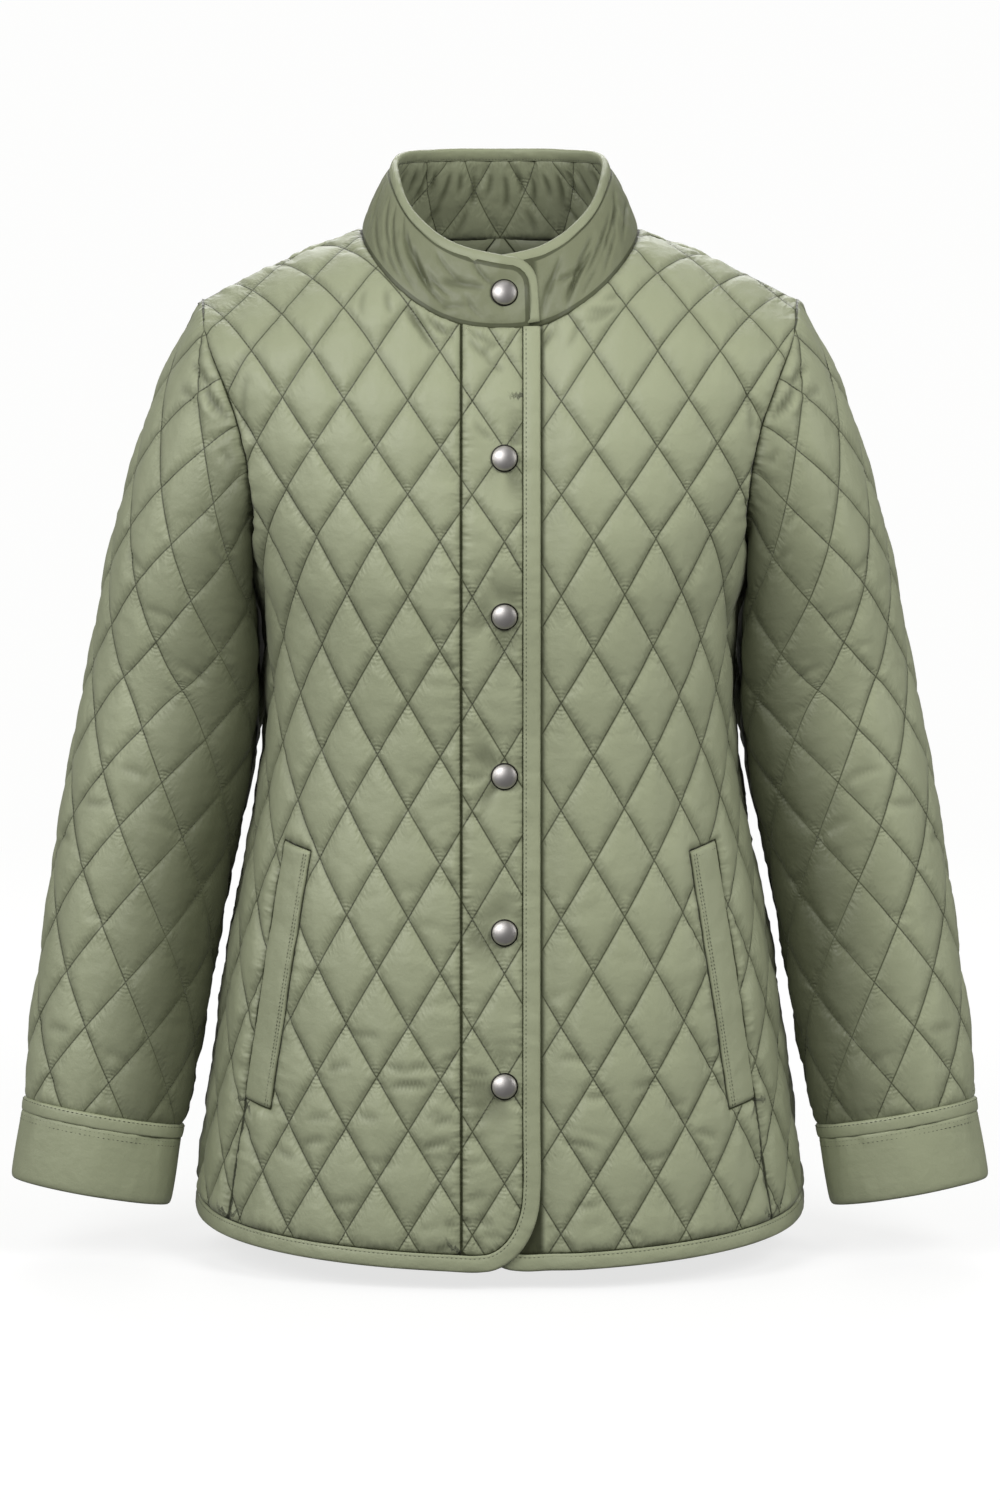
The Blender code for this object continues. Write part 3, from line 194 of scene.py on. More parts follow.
def hermite(t, low, low_slope, high, high_slope):
    """A smooth curve from a low to a high value with a slope at each end, at a share t of the way."""
    return (low * (2 * t**3 - 3 * t**2 + 1) + low_slope * (t**3 - 2 * t**2 + t)
            + high * (3 * t**2 - 2 * t**3) + high_slope * (t**3 - t**2))


def smooth(table, at):
    """Values of a smooth curve through a table whose first column is the place along it."""
    rows = np.asarray(table, float)
    place, values = rows[:, 0], rows[:, 1:]
    slope = np.gradient(values, place, axis=0)
    at = np.clip(np.asarray(at, float), place[0], place[-1])
    first = np.clip(np.searchsorted(place, at, side="right") - 1, 0, len(place) - 2)
    length = (place[first + 1] - place[first])[..., None]
    t = (at - place[first])[..., None] / length
    return hermite(t, values[first], slope[first] * length, values[first + 1], slope[first + 1] * length)


def spread(at, place, rows):
    """Rows of numbers looked up between the places they are given for."""
    return np.stack([np.interp(at, place, column) for column in rows.T], axis=-1)


def lengths(points):
    """Distance along a line of points, from its start."""
    return np.concatenate([[0.0], np.cumsum(np.linalg.norm(np.diff(points, axis=0), axis=1))])


def resample(points, count):
    """The same line with evenly spaced points."""
    run = lengths(points)
    return spread(np.linspace(0, run[-1], count), run, points)


def curve_through(points, count):
    """Evenly spaced points on a smooth curve through a few points."""
    points = np.asarray(points, float)
    run = lengths(points)
    fine = smooth(np.column_stack([run, points]), np.linspace(0, run[-1], 8 * count))
    return resample(fine, count)


def fade(x):
    """0 below 0, 1 above 1, smooth between."""
    x = np.clip(x, 0.0, 1.0)
    return x * x * (3 - 2 * x)


def grid_value(grid, row, column):
    """Value of a grid of points between its rows and columns."""
    row = np.clip(row, 0, grid.shape[0] - 1.000001)
    column = np.clip(column, 0, grid.shape[1] - 1.000001)
    r, c = row.astype(int), column.astype(int)
    fr, fc = row - r, column - c
    if grid.ndim == 3:
        fr, fc = fr[..., None], fc[..., None]
    low = grid[r, c] * (1 - fc) + grid[r, c + 1] * fc
    high = grid[r + 1, c] * (1 - fc) + grid[r + 1, c + 1] * fc
    return low * (1 - fr) + high * fr


RING_HEIGHTS = np.linspace(BODY[0][0], BODY[-1][0], 157)
RING_SHARES = 97


def body_rings(behind):
    """Quarter sections of the body at every height: points at even distances, and their length."""
    half, front, back = smooth(BODY, RING_HEIGHTS).T
    depth = back if behind else front
    turn = np.linspace(0, math.pi / 2, 400)
    shape_x = np.sin(turn) ** (2 / BODY_SQUARENESS)
    shape_y = np.cos(turn) ** (2 / BODY_SQUARENESS)
    rings, quarter = [], []
    for a, b in zip(half, depth):
        line = pairs(a * shape_x, b * shape_y)
        rings.append(resample(line, RING_SHARES))
        quarter.append(lengths(line)[-1])
    return np.array(rings), np.array(quarter)


RINGS = {False: body_rings(False), True: body_rings(True)}


def side_length(behind, up):
    """Distance from the middle of the front, or back, to the side seam at a height."""
    return np.interp(up, RING_HEIGHTS, RINGS[behind][1])


def ring_point(behind, along, height):
    """X and Y on the body's section at a height; along may pass the middle or the side seam."""
    rings, quarter = RINGS[behind]
    row = (height - RING_HEIGHTS[0]) / (RING_HEIGHTS[1] - RING_HEIGHTS[0])
    share = np.abs(along) / np.interp(height, RING_HEIGHTS, quarter)
    past_side = share > 1
    place = grid_value(rings, row, np.where(past_side, 2 - share, share) * (RING_SHARES - 1))
    x = np.where(along < 0, -place[..., 0], place[..., 0])
    y = np.where(past_side, -place[..., 1], place[..., 1])
    return x, (y if behind else -y)


def bend_start(behind, along):
    """Height at which the body starts to turn in to the shoulder line."""
    x, _ = ring_point(behind, along, np.full_like(along, BODY[-3][0]))
    return SHOULDER_SLOPE * (NECK_HALF - np.abs(x)) - SHOULDER_BEND


def bend_points(behind, along, turn):
    """Points of the turn to the shoulder line; turn runs from 0 to a right angle."""
    height = bend_start(behind, along) + SHOULDER_BEND * np.sin(turn)
    x, y = ring_point(behind, along, height)
    return np.stack([x, SHOULDER_BACK + (y - SHOULDER_BACK) * np.cos(turn), height], axis=-1)


def bend_table(behind, along):
    """Angles of the turn and the distance along it for each."""
    turn = np.linspace(0, math.pi / 2, 15)
    points = np.stack([bend_points(behind, along, np.full_like(along, t)) for t in turn])
    gaps = np.linalg.norm(np.diff(points, axis=0), axis=-1)
    return turn, np.concatenate([np.zeros((1,) + along.shape), np.cumsum(gaps, axis=0)])


def shoulder_up(behind, along):
    """Flat height of the shoulder line."""
    along = np.atleast_1d(np.asarray(along, float))
    return bend_start(behind, along) + bend_table(behind, along)[1][-1]


def body_point(behind, along, up):
    """Point of the body form for a flat point of the wearer's left side."""
    along, up = np.asarray(along, float), np.asarray(up, float)
    x, y = ring_point(behind, along, up)
    point = np.stack([x, y, up], axis=-1)
    beyond = up - bend_start(behind, along)
    high = beyond > 0
    if high.any():
        turn, run = bend_table(behind, along[high])
        step = np.clip((run < beyond[high]).sum(axis=0) - 1, 0, len(turn) - 2)
        pick = np.arange(step.size)
        start, end = run[step, pick], run[step + 1, pick]
        angle = turn[step] + (turn[1] - turn[0]) * (beyond[high] - start) / (end - start)
        point[high] = bend_points(behind, along[high], angle)
    return point


def front_point(along, up):
    """Point of the body form in front."""
    return body_point(False, along, up)


def back_point(along, up):
    """Point of the body form behind."""
    return body_point(True, along, up)


def laid(form, flat, out):
    """Flat points laid on a form, moved out from it."""
    along, up = np.atleast_2d(flat).T
    out = np.broadcast_to(np.asarray(out, float), along.shape)
    across = form(along + STEP, up) - form(along - STEP, up)
    rise = form(along, up + STEP) - form(along, up - STEP)
    facing = 1.0 if form is front_point else -1.0
    return form(along, up) + unit(np.cross(across, rise)) * (out * facing)[:, None]


def neck_up(behind, along):
    """Flat height of the neck seam."""
    corner = neck_corner(behind)
    low = NECK_BACK if behind else NECK_FRONT
    share = np.clip(np.abs(along) / corner[0], 0, 1)
    return corner[1] + (low - corner[1]) * (1 - share**NECK_SQUARENESS) ** (1 / NECK_SQUARENESS)


def along_at_shoulder(behind, half_width):
    """Distance from the middle at which the shoulder line has a half width."""
    along = np.linspace(0.5 * NECK_HALF, 1.2 * SHOULDER_HALF, LINE_STEPS)
    x = bend_points(behind, along, np.full_like(along, math.pi / 2))[:, 0]
    return float(np.interp(half_width, x, along))


def neck_corner(behind):
    """Flat point where the neck seam meets the shoulder seam."""
    along = along_at_shoulder(behind, NECK_HALF)
    return along, float(shoulder_up(behind, along)[0])


def neck_seam(behind, first, last, count):
    """Points of the neck seam between two distances from the middle, closer where it is steep."""
    corner = neck_corner(behind)[0]
    turn = np.linspace(math.asin(max(first / corner, -1)), math.asin(min(last / corner, 1)), count)
    along = corner * np.sin(turn)
    return pairs(along, neck_up(behind, along))


def armhole(behind):
    """The armhole seam, from the shoulder point to the underarm."""
    start = along_at_shoulder(behind, SHOULDER_HALF)
    start = (start, float(shoulder_up(behind, start)[0]))
    end = (float(side_length(behind, UNDERARM)), UNDERARM)
    return curve_through((start,) + (ARMHOLE_BACK if behind else ARMHOLE_FRONT) + (end,), ARMHOLE_POINTS)


def shoulder_seam(behind, count):
    """The shoulder seam, from the armhole to the neck."""
    along = np.linspace(armhole(behind)[0, 0], neck_corner(behind)[0], count)
    return pairs(along, shoulder_up(behind, along))


def side_seam(behind, low, count):
    """The side seam, from a height up to the underarm, with closer points towards the underarm."""
    up = UNDERARM + (low - UNDERARM) * np.linspace(1, 0, count) ** 1.5
    return pairs(side_length(behind, up), up)


def hem_up(behind, along):
    """Flat height of the hem."""
    side = side_length(behind, HEM_MIDDLE + HEM_RISE)
    return HEM_MIDDLE + HEM_RISE * np.clip(np.abs(along) / side, 0, 1.1) ** 1.6


def moved_in(path, distance):
    """A line moved to its left."""
    run = unit(np.gradient(path, axis=0))
    return path + pairs(-run[:, 1], run[:, 0]) * distance


def front_edge():
    """Finished edge of a front: down from the neck, round the corner, along the hem to the side seam."""
    straight_low = HEM_MIDDLE + CORNER_UP
    top = float(neck_up(False, FRONT_LAP - EDGE_BINDING)) - COLLAR_GAP
    straight = pairs(-FRONT_LAP, np.linspace(top, straight_low, EDGE_POINTS))
    turn = np.linspace(0, math.pi / 2, CORNER_POINTS + 1)[1:]
    corner_along = -FRONT_LAP + CORNER_ALONG * (1 - np.cos(turn))
    corner_up = straight_low - CORNER_UP * np.sin(turn)
    corner_up += np.linspace(0, 1, CORNER_POINTS) * (hem_up(False, corner_along[-1]) - HEM_MIDDLE)
    side = float(side_length(False, HEM_MIDDLE + HEM_RISE)) - BINDING_END
    along = np.linspace(-FRONT_LAP + CORNER_ALONG, side, HEM_POINTS)[1:]
    return np.vstack([straight, pairs(corner_along, corner_up), pairs(along, hem_up(False, along))])


def back_hem():
    """Finished hem edge of the back, from one side seam to the other."""
    side = float(side_length(True, HEM_MIDDLE + HEM_RISE)) - BINDING_END
    along = np.linspace(-side, side, 2 * HEM_POINTS - 1)
    return pairs(along, hem_up(True, along))


def welt_frame():
    """Lower end, direction up the welt, direction to the front, and length."""
    low, top = np.array(WELT_LOW), np.array(WELT_TOP)
    length = np.linalg.norm(top - low)
    up = (top - low) / length
    return low, up, np.array([-up[1], up[0]]), length


def welt_notch(hem_line):
    """Cut in a front for its welt and for the seam from the welt's outer edge down to the hem."""
    low, up, inward, length = welt_frame()
    side = 0.5 * WELT_WIDTH + SEAM_GAP
    outer_low = low - inward * side - up * SEAM_GAP
    outer_top = low - inward * side + up * (length + SEAM_GAP)
    inner_top = low + inward * side + up * (length + SEAM_GAP)
    inner_low = low + inward * side - up * SEAM_GAP
    slit_low = low - inward * (side - SEAM_GAP) - up * SEAM_GAP
    drops = np.linspace(0, WELT_DROP, LINE_STEPS)
    places = slit_low - np.outer(drops, up)
    above_hem = places[:, 1] - np.interp(places[:, 0], hem_line[:, 0], hem_line[:, 1])
    foot_inner = slit_low - up * np.interp(0, -above_hem, drops)
    foot_outer = foot_inner - inward * SEAM_GAP
    outer = np.linspace(outer_low, outer_top, 7)
    inner = np.linspace(inner_top, inner_low, 7)
    slit_up = np.linspace(foot_inner, slit_low, 4)
    slit_down = np.linspace(outer_low, foot_outer, 4)
    return foot_inner[0], foot_outer[0], np.vstack([slit_up, inner[::-1], outer[::-1][:-1], slit_down])


AXIS = np.array([math.sin(SLEEVE_TILT), 0.0, -math.cos(SLEEVE_TILT)])
SPREAD = np.array([math.cos(SLEEVE_TILT), 0.0, math.sin(SLEEVE_TILT)])
SHOULDER_POINT = np.array([SHOULDER_HALF, 0.0, -SLEEVE_HEAD_DROP])
SLEEVE_COLUMNS = 161
CAP_LEVEL = SLEEVE[0][0]
SLEEVE_LEVELS = np.linspace(CAP_LEVEL, SLEEVE[-1][0], 90)


def sleeve_rings():
    """Sections of the sleeve tube from the underarm level to the cuff, from outside round by the front.

    Each section is square to the arm, which comes forward towards the hand.
    """
    turn = np.linspace(0, 2 * math.pi, 721)
    sizes = smooth(SLEEVE, SLEEVE_LEVELS)
    forward = np.gradient(sizes[:, 1], SLEEVE_LEVELS)
    rings, girth = [], []
    for level, lean, (middle, back, half_x, half_y) in zip(SLEEVE_LEVELS, forward, sizes):
        centre = SHOULDER_POINT + AXIS * level + SPREAD * middle + np.array([0, back, 0])
        across = np.array([0, 1.0, 0]) - AXIS * lean
        line = centre + np.outer(np.cos(turn) * half_x, SPREAD) - np.outer(np.sin(turn) * half_y, across)
        line[:, 0] = beside_body(line)
        rings.append(resample(line, SLEEVE_COLUMNS))
        girth.append(lengths(line)[-1])
    return np.array(rings), np.array(girth)


def beside_body(points):
    """How far out points lie once they are pushed clear of the body's side, with a soft turn."""
    half, front, back = smooth(BODY, points[:, 2]).T
    share = np.clip(np.abs(points[:, 1]) / np.where(points[:, 1] > 0, back, front), 0, 1)
    limit = half * (1 - share**BODY_SQUARENESS) ** (1 / BODY_SQUARENESS) + SLEEVE_CLEAR
    over = points[:, 0] - limit
    return limit + 0.5 * (over + np.sqrt(over**2 + SLEEVE_CLEAR_BLEND**2))


def armhole_ring():
    """The armhole in space, from the shoulder round by the front, and its directions.

    They are the way out across the seam, on the panel, and the way outwards from the panel.
    """
    points, ways, normals = [], [], []
    for behind in (False, True):
        flat = armhole(behind)
        form = back_point if behind else front_point
        on_form = laid(form, flat, 0.0)
        normal = laid(form, flat, 1.0) - on_form
        way = np.cross(normal, np.gradient(on_form, axis=0))
        way *= np.sign(way[len(way) // 2, 0])
        points.append(on_form)
        ways.append(way)
        normals.append(normal)
    half = (SLEEVE_COLUMNS + 1) // 2
    front, back = (resample(line, half) for line in points)
    ring = np.vstack([front, back[::-1][1:]])
    way, normal = (np.vstack([unit_rows(pair[0], half), unit_rows(pair[1], half)[::-1][1:]])
                   for pair in (ways, normals))
    return ring, way, normal


def unit_rows(rows, count):
    """Directions spread over more places, each made one long."""
    return unit(spread(np.linspace(0, 1, count), np.linspace(0, 1, len(rows)), rows))


def sleeve_cap(rings):
    """The sleeve's head: lines from the armhole to the first section, and their lengths."""
    seam, way, normal = armhole_ring()
    end = rings[0]
    end_way = unit(rings[1] - rings[0])
    turn = np.linspace(0, 2 * math.pi, SLEEVE_COLUMNS)
    leave = np.column_stack([np.ones_like(turn), -CAP_SPLAY * np.sin(turn), -CAP_FALL * (1 + np.cos(turn))])
    leave = unit(leave)
    outside = unit(np.cross(np.gradient(seam, axis=0), leave))
    outside *= np.sign(outside[0, 2])
    fold = np.clip(-np.sum(outside * way, axis=1), 0, 1)[:, None]
    start = seam + way * (SEAM_GAP + CLOTH * fold) + normal * (SEAM_GAP + CLOTH) * fold
    reach = np.linalg.norm(end - start, axis=1)[:, None]
    under = (0.5 - 0.5 * np.cos(turn))[:, None] ** CAP_PULL_POWER
    pull = CAP_PULL + (CAP_PULL_UNDER - CAP_PULL) * under
    t = np.linspace(0, 1, 65)[:, None, None]
    lines = hermite(t, start, leave * reach * pull, end, end_way * reach * CAP_MEET)
    columns = [resample(lines[::-1, i], CAP_ROWS) for i in range(SLEEVE_COLUMNS)]
    run = [lengths(lines[:, i])[-1] for i in range(SLEEVE_COLUMNS)]
    return np.stack(columns, axis=1), np.array(run)


SLEEVE_RINGS, SLEEVE_GIRTH = sleeve_rings()
CAP_GRID, CAP_LENGTH = sleeve_cap(SLEEVE_RINGS)


def girth_at(level):
    """Distance round a sleeve at a distance down it."""
    return np.interp(level, SLEEVE_LEVELS, SLEEVE_GIRTH)


def sleeve_column(along, level):
    """Column of the sleeve's grids; along is measured from the sleeve's front line."""
    share = along / girth_at(np.maximum(level, CAP_LEVEL)) + 0.25
    return np.mod(share, 1.0) * (SLEEVE_COLUMNS - 1)


def sleeve_point(along, up):
    """Point of the left sleeve for a flat point; up is minus the distance from the shoulder."""
    along, level = np.asarray(along, float), -np.asarray(up, float)
    column = sleeve_column(along, level)
    row = (level - CAP_LEVEL) / (SLEEVE_LEVELS[1] - SLEEVE_LEVELS[0])
    point = grid_value(SLEEVE_RINGS, row, column)
    head = level < CAP_LEVEL
    if head.any():
        length = np.interp(column[head], np.arange(SLEEVE_COLUMNS), CAP_LENGTH)
        share = (CAP_LEVEL - level[head]) / length
        inside = grid_value(CAP_GRID, np.clip(share, 0, 1) * (len(CAP_GRID) - 1), column[head])
        last = grid_value(CAP_GRID, np.full(share.shape, len(CAP_GRID) - 1.0), column[head])
        before = grid_value(CAP_GRID, np.full(share.shape, len(CAP_GRID) - 2.0), column[head])
        past = np.clip(share - 1, 0, 1)[:, None] * (len(CAP_GRID) - 1)
        point[head] = inside + (last - before) * past
    return point


def sleeve_head():
    """The seam of the sleeve's head cut flat, from the front underarm to the back underarm."""
    share = np.linspace(1.0, 0.0, 61)
    along = (share - 0.75) * girth_at(CAP_LEVEL)
    length = np.interp(np.mod(share - 0.5, 1.0) * (SLEEVE_COLUMNS - 1), np.arange(SLEEVE_COLUMNS), CAP_LENGTH)
    along[0] -= SIDE_GAP
    along[-1] += SIDE_GAP
    return pairs(along, length - CAP_LEVEL)


def sleeve_outline():
    """The sleeve cut flat: up the front underarm edge, over the head, down the back underarm edge."""
    levels = np.linspace(SLEEVE_END, CAP_LEVEL, 15)
    front = pairs(0.25 * girth_at(levels) - SIDE_GAP, -levels)
    back = pairs(-0.75 * girth_at(levels) + SIDE_GAP, -levels)
    bottom = pairs(np.linspace(back[0, 0], front[0, 0], 16)[1:-1], -SLEEVE_END)
    return np.vstack([front, sleeve_head(), back[::-1], bottom])


def neck_ring():
    """Upper face of the neck seam in space, from the middle of the back to past the middle of the front."""
    parts = []
    corner_back, corner_front = neck_corner(True)[0], neck_corner(False)[0]
    for form, behind, corner in ((back_point, True, corner_back), (front_point, False, corner_front)):
        flat = moved_in(neck_seam(behind, 0.0, corner, 50), COLLAR_GAP)
        parts.append(laid(form, flat, CLOTH))
    line = np.vstack([parts[0], parts[1][::-1]])
    line[0, 0] = line[-1, 0] = 0.0
    return resample(line, 121)


NECK_RING = neck_ring()
COLLAR_HALF = float(lengths(NECK_RING)[-1])


def collar_ends(along):
    """Lower and upper edge of the collar at a distance from the middle of the back; it may pass the front."""
    share = np.abs(along) / COLLAR_HALF
    folded = np.where(share > 1, 2 - share, share)
    low = spread(folded, np.linspace(0, 1, len(NECK_RING)), NECK_RING)
    top = smooth(COLLAR_TOP, folded)
    flip = np.where(share > 1, -1.0, 1.0) * np.where(along < 0, -1.0, 1.0)
    low[..., 0] *= flip
    top[..., 0] *= flip
    return low, top


def collar_height(along):
    """Height of the collar's finished edge above the neck seam."""
    low, top = collar_ends(np.asarray(along, float))
    return np.linalg.norm(top - low, axis=-1)


def collar_point(along, up):
    """Point of the collar's outer face; up is measured from the neck seam."""
    along, up = np.asarray(along, float), np.asarray(up, float)
    low, top = collar_ends(along)
    return low + unit(top - low) * up[..., None]


def collar_edge():
    """Finished edge of the collar: up the right end, over the top, down the left end."""
    end = COLLAR_HALF + FRONT_LAP
    height = float(collar_height(COLLAR_HALF))
    side = pairs(-end, np.linspace(0.0, height - COLLAR_CORNER, 4))
    turn = np.linspace(0, math.pi / 2, 6)[1:]
    corner_up = height - COLLAR_CORNER + COLLAR_CORNER * np.sin(turn)
    corner = pairs(-end + COLLAR_CORNER * (1 - np.cos(turn)), corner_up)
    along = np.linspace(-end + COLLAR_CORNER, 0, 18)[1:]
    half = np.vstack([side, corner, pairs(along, collar_height(along))])
    other = half[::-1][1:] * np.array([-1.0, 1.0])
    return np.vstack([half, other])[::-1]


def sides_of(polygon):
    """Both ends of each side of a closed outline."""
    return zip(polygon, np.roll(polygon, -1, axis=0))


def rim_of(polygon):
    """The same as numbers of its points."""
    return [(k, (k + 1) % len(polygon)) for k in range(len(polygon))]


def inside(polygon, points):
    """Which points lie in a polygon."""
    x, y = points.T
    result = np.zeros(len(points), bool)
    for (x0, y0), (x1, y1) in sides_of(polygon):
        crosses = (y0 > y) != (y1 > y)
        rise = np.where(crosses, y1 - y0, 1.0)
        result ^= crosses & (x < x0 + (y - y0) * (x1 - x0) / rise)
    return result


def body_row(up):
    """Row number of a flat height on the body, and beyond the table."""
    rows, heights = np.array(BODY_ROWS).T
    return np.interp(up, heights, rows)


def body_row_up(row):
    """Flat height of a row on the body."""
    rows, heights = np.array(BODY_ROWS).T
    return np.interp(row, rows, heights)


class Quilt:
    """A net of stitch lines on a flat piece: column and row numbers, whole where lines cross."""

    def __init__(self, crossing, row_of, up_of):
        self.crossing, self.row_of, self.up_of = crossing, row_of, up_of

    def numbers(self, points):
        """Numbers of the two families of stitch lines at each point."""
        column = (points[:, 0] - self.crossing) / (0.5 * QUILT_WIDTH)
        row = self.row_of(points[:, 1])
        return 0.5 * (row + column), 0.5 * (row - column)

    def place(self, first, second):
        """Flat point for the two numbers."""
        column, row = first - second, first + second
        return np.stack([self.crossing + column * 0.5 * QUILT_WIDTH, self.up_of(row)], axis=-1)


def even_rows(crossing_up, pitch):
    """Row numbers of evenly spaced rows, and their heights."""
    return (lambda up: (up - crossing_up) / pitch), (lambda row: crossing_up + row * pitch)


def lap_sink(points):
    """How deep the left front lies under the placket."""
    return UNDERLAP * (1 - fade((points[:, 0] - PLACKET_SEAM) / UNDERLAP_FADE))


def lap_puff(points):
    """Padding left on the left front, less under the placket."""
    return LAP_PUFF + (1 - LAP_PUFF) * fade((points[:, 0] - PLACKET_SEAM) / UNDERLAP_FADE)


def placket_puff(points):
    """Padding of the placket, pressed down round the snaps."""
    share = np.ones(len(points))
    for height in SNAP_HEIGHTS:
        distance = np.linalg.norm(points - np.array([SNAP_ALONG, height]), axis=1)
        share = np.minimum(share, fade((distance - SNAP_RADIUS) / SNAP_PRESS))
    return PLACKET_PUFF * share


def front_lower(line):
    """The part of a front's inner binding line that runs along the bottom, as along and up."""
    return line[np.argmax(np.diff(line[:, 0]) > 1e-6):]


def front_outline(first, with_placket):
    """A front cut flat, from a distance beside the middle to the side seam."""
    inner = moved_in(front_edge(), EDGE_BINDING + SEAM_GAP)
    lower = front_lower(inner)
    foot_inner, foot_outer, notch = welt_notch(lower)
    if with_placket:
        start = np.array([[first, np.interp(first, lower[:, 0], lower[:, 1])]])
        lead = lower[(lower[:, 0] > first + CORNER_CLEAR) & (lower[:, 0] < foot_inner - CORNER_CLEAR)]
        lead = np.vstack([start, lead])
    else:
        edge = inner[inner[:, 1] < float(neck_up(False, first)) - NECK_CLEAR]
        lead = edge[edge[:, 0] < foot_inner - CORNER_CLEAR]
    tail = lower[lower[:, 0] > foot_outer + CORNER_CLEAR][:-1]
    low = lower[-1, 1]
    side = side_seam(False, low, 20) - np.array([SIDE_GAP, 0])
    arm = armhole(False)[::-1][1:]
    shoulder = shoulder_seam(False, 7)[1:] - np.array([0, SIDE_GAP])
    arm[-1, 1] -= SIDE_GAP
    neck = neck_seam(False, first, neck_corner(False)[0], 16)[::-1][1:]
    closing = np.empty((0, 2))
    if with_placket:
        closing = pairs(first, np.linspace(neck[-1, 1], start[0, 1], 22)[1:-1])
    return np.vstack([lead, notch, tail, side, arm, shoulder, neck, closing])


def placket_outline():
    """The placket cut flat: between the front edge's binding and the seam of the right front."""
    inner = moved_in(front_edge(), EDGE_BINDING + SEAM_GAP)
    seam = PLACKET_SEAM - SEAM_GAP
    edge = inner[inner[:, 0] < seam - CORNER_CLEAR]
    edge = edge[edge[:, 1] < float(neck_up(False, FRONT_LAP)) - NECK_CLEAR]
    lower = front_lower(inner)
    low = np.interp(seam, lower[:, 0], lower[:, 1])
    top = neck_seam(False, edge[0, 0], seam, 5)[::-1]
    closing = pairs(seam, np.linspace(low, top[0, 1], 22)[:-1])
    return np.vstack([edge, closing, top])


def back_outline():
    """The back cut flat."""
    hem = moved_in(back_hem(), EDGE_BINDING + SEAM_GAP)
    side = side_seam(True, hem[-1, 1], 20) - np.array([SIDE_GAP, 0])
    arm = armhole(True)[::-1][1:]
    arm[-1, 1] -= SIDE_GAP
    shoulder = shoulder_seam(True, 7)[1:] - np.array([0, SIDE_GAP])
    neck = neck_seam(True, 0.0, neck_corner(True)[0], 12)[::-1][1:]
    right = np.vstack([side, arm, shoulder, neck])
    left = right[::-1][1:] * np.array([-1.0, 1.0])
    return np.vstack([hem[1:-1], right, left])


def collar_outline():
    """The collar cut flat, inside its binding."""
    inner = moved_in(collar_edge(), COLLAR_BINDING + SEAM_GAP)
    inner[0, 1] = inner[-1, 1] = 0.0
    return np.vstack([inner, pairs(np.linspace(inner[-1, 0], inner[0, 0], 41)[1:-1], 0.0)])


def collar_sink(points):
    """The collar's left end lies deeper, under its right end."""
    past = points[:, 0] - (COLLAR_HALF - FRONT_LAP)
    return COLLAR_UNDERLAP * fade((past + UNDERLAP_FADE) / UNDERLAP_FADE)


def collar_puff(points):
    """Padding left inside the collar, less where its ends lap."""
    past = np.abs(points[:, 0]) - (COLLAR_HALF - FRONT_LAP)
    return 1 - (1 - LAP_PUFF) * fade((past + UNDERLAP_FADE) / UNDERLAP_FADE)


def body_quilt(crossing):
    return Quilt(crossing, body_row, body_row_up)


# ---------------------------------------------------------------- sizes of what is added here

# The fine net's lines between two stitch lines, as shares of the way, closest beside the stitch lines
TICKS = (0.0, 0.028, 0.070, 0.118, 0.17, 0.225, 0.285, 0.345, 0.405, 0.465, 0.525, 0.585, 0.645, 0.705,
         0.765, 0.82, 0.872, 0.92, 0.962)
SLIVER = 1e-9               # an enclosed area whose largest triangle is smaller than half this is dropped
NET_MARGIN = 0.0022         # the fine net keeps this far from a piece's edge
EDGE_STEP = 0.0026          # spacing of points round a piece
SEAM_LAP = 0.0002           # panels reach this far past their cut edge, which closes the seams
PLACKET_LAP = 0.0004
SLEEVE_LAP = 0.0018
COLLAR_LAP = 0.0022
PLUMP = 0.0039              # how far the padding rises in the middle of a rhomb
PLUMP_REACH = 0.0049        # distance from a stitch line over which most of that happens
SEAM_ROLL = 0.009           # distance from a seam over which the padding rises
SEAM_DIP = 0.0007           # the cloth dips this much at a seam
ROW_GAP = 0.0370            # distance between neighbouring stitch lines
LINE_UNIT = 0.0424          # distance between crossings along a stitch line
PUCKER = 0.00045            # height of the small gathers beside stitch lines
SEAM_PUCKER = 0.0007        # and beside seams
CREASE = 0.0010             # height of the creases across a rhomb
FOLD_SHADE = 0.55           # painted shade: a fold this deep is painted this much darker
FOLD_DEEP = 0.0026
FOLD_LEAST = 0.0023         # folds in quilted cloth are at least this wide
PLAIN_FOLD_SHADE = 1.5      # the painted shade of folds in plain cloth is stronger by this factor
PLAIN_STEP = 0.012          # spacing of points on the plain inner faces
STITCH_PITCH = 0.0031       # from stitch to stitch
STITCH_LONG = 0.0023
STITCH_WIDE = 0.00075
STITCH_HIGH = 0.00030
ARC_STEP = 0.0027           # from one small arc beside a crossing to the next
ARC_REACH = 0.0075          # they die out this far from the crossing

GATHER = 0.0042             # spacing of the small gathers beside stitch lines, and where they are highest
GATHER_WIDE = 0.0083        # spacing of the wider ones between them
GATHER_LEAN = 0.021         # they lean one way and the other over this distance
CROSSING_REACH = 0.011      # and are stronger this near to a crossing
SEAM_DIP_REACH = 0.0018
SEAM_GATHER = 0.0046        # spacing of the gathers beside seams
SEAM_GATHER_WIDE = 0.0105
SEAM_GATHER_REACH = 0.005
SEAM_GATHER_FADE = 0.001    # they grow over this distance from the seam
LOWEST = -0.0010            # the quilted face is nowhere lower than this, from its wall's face
CREASES_EACH = 3            # creases in a rhomb
CREASE_PLACE = (0.016, 0.042)       # width and height over which they are spread
CREASE_TURN = 0.9           # and the angle, radians
CREASE_BOW = 9.0            # how much they may bend
CREASE_LONG = (0.006, 0.008)        # least half length, and how much longer some are
CREASE_WIDE = (0.0020, 0.0022)      # least half width, and how much wider some are
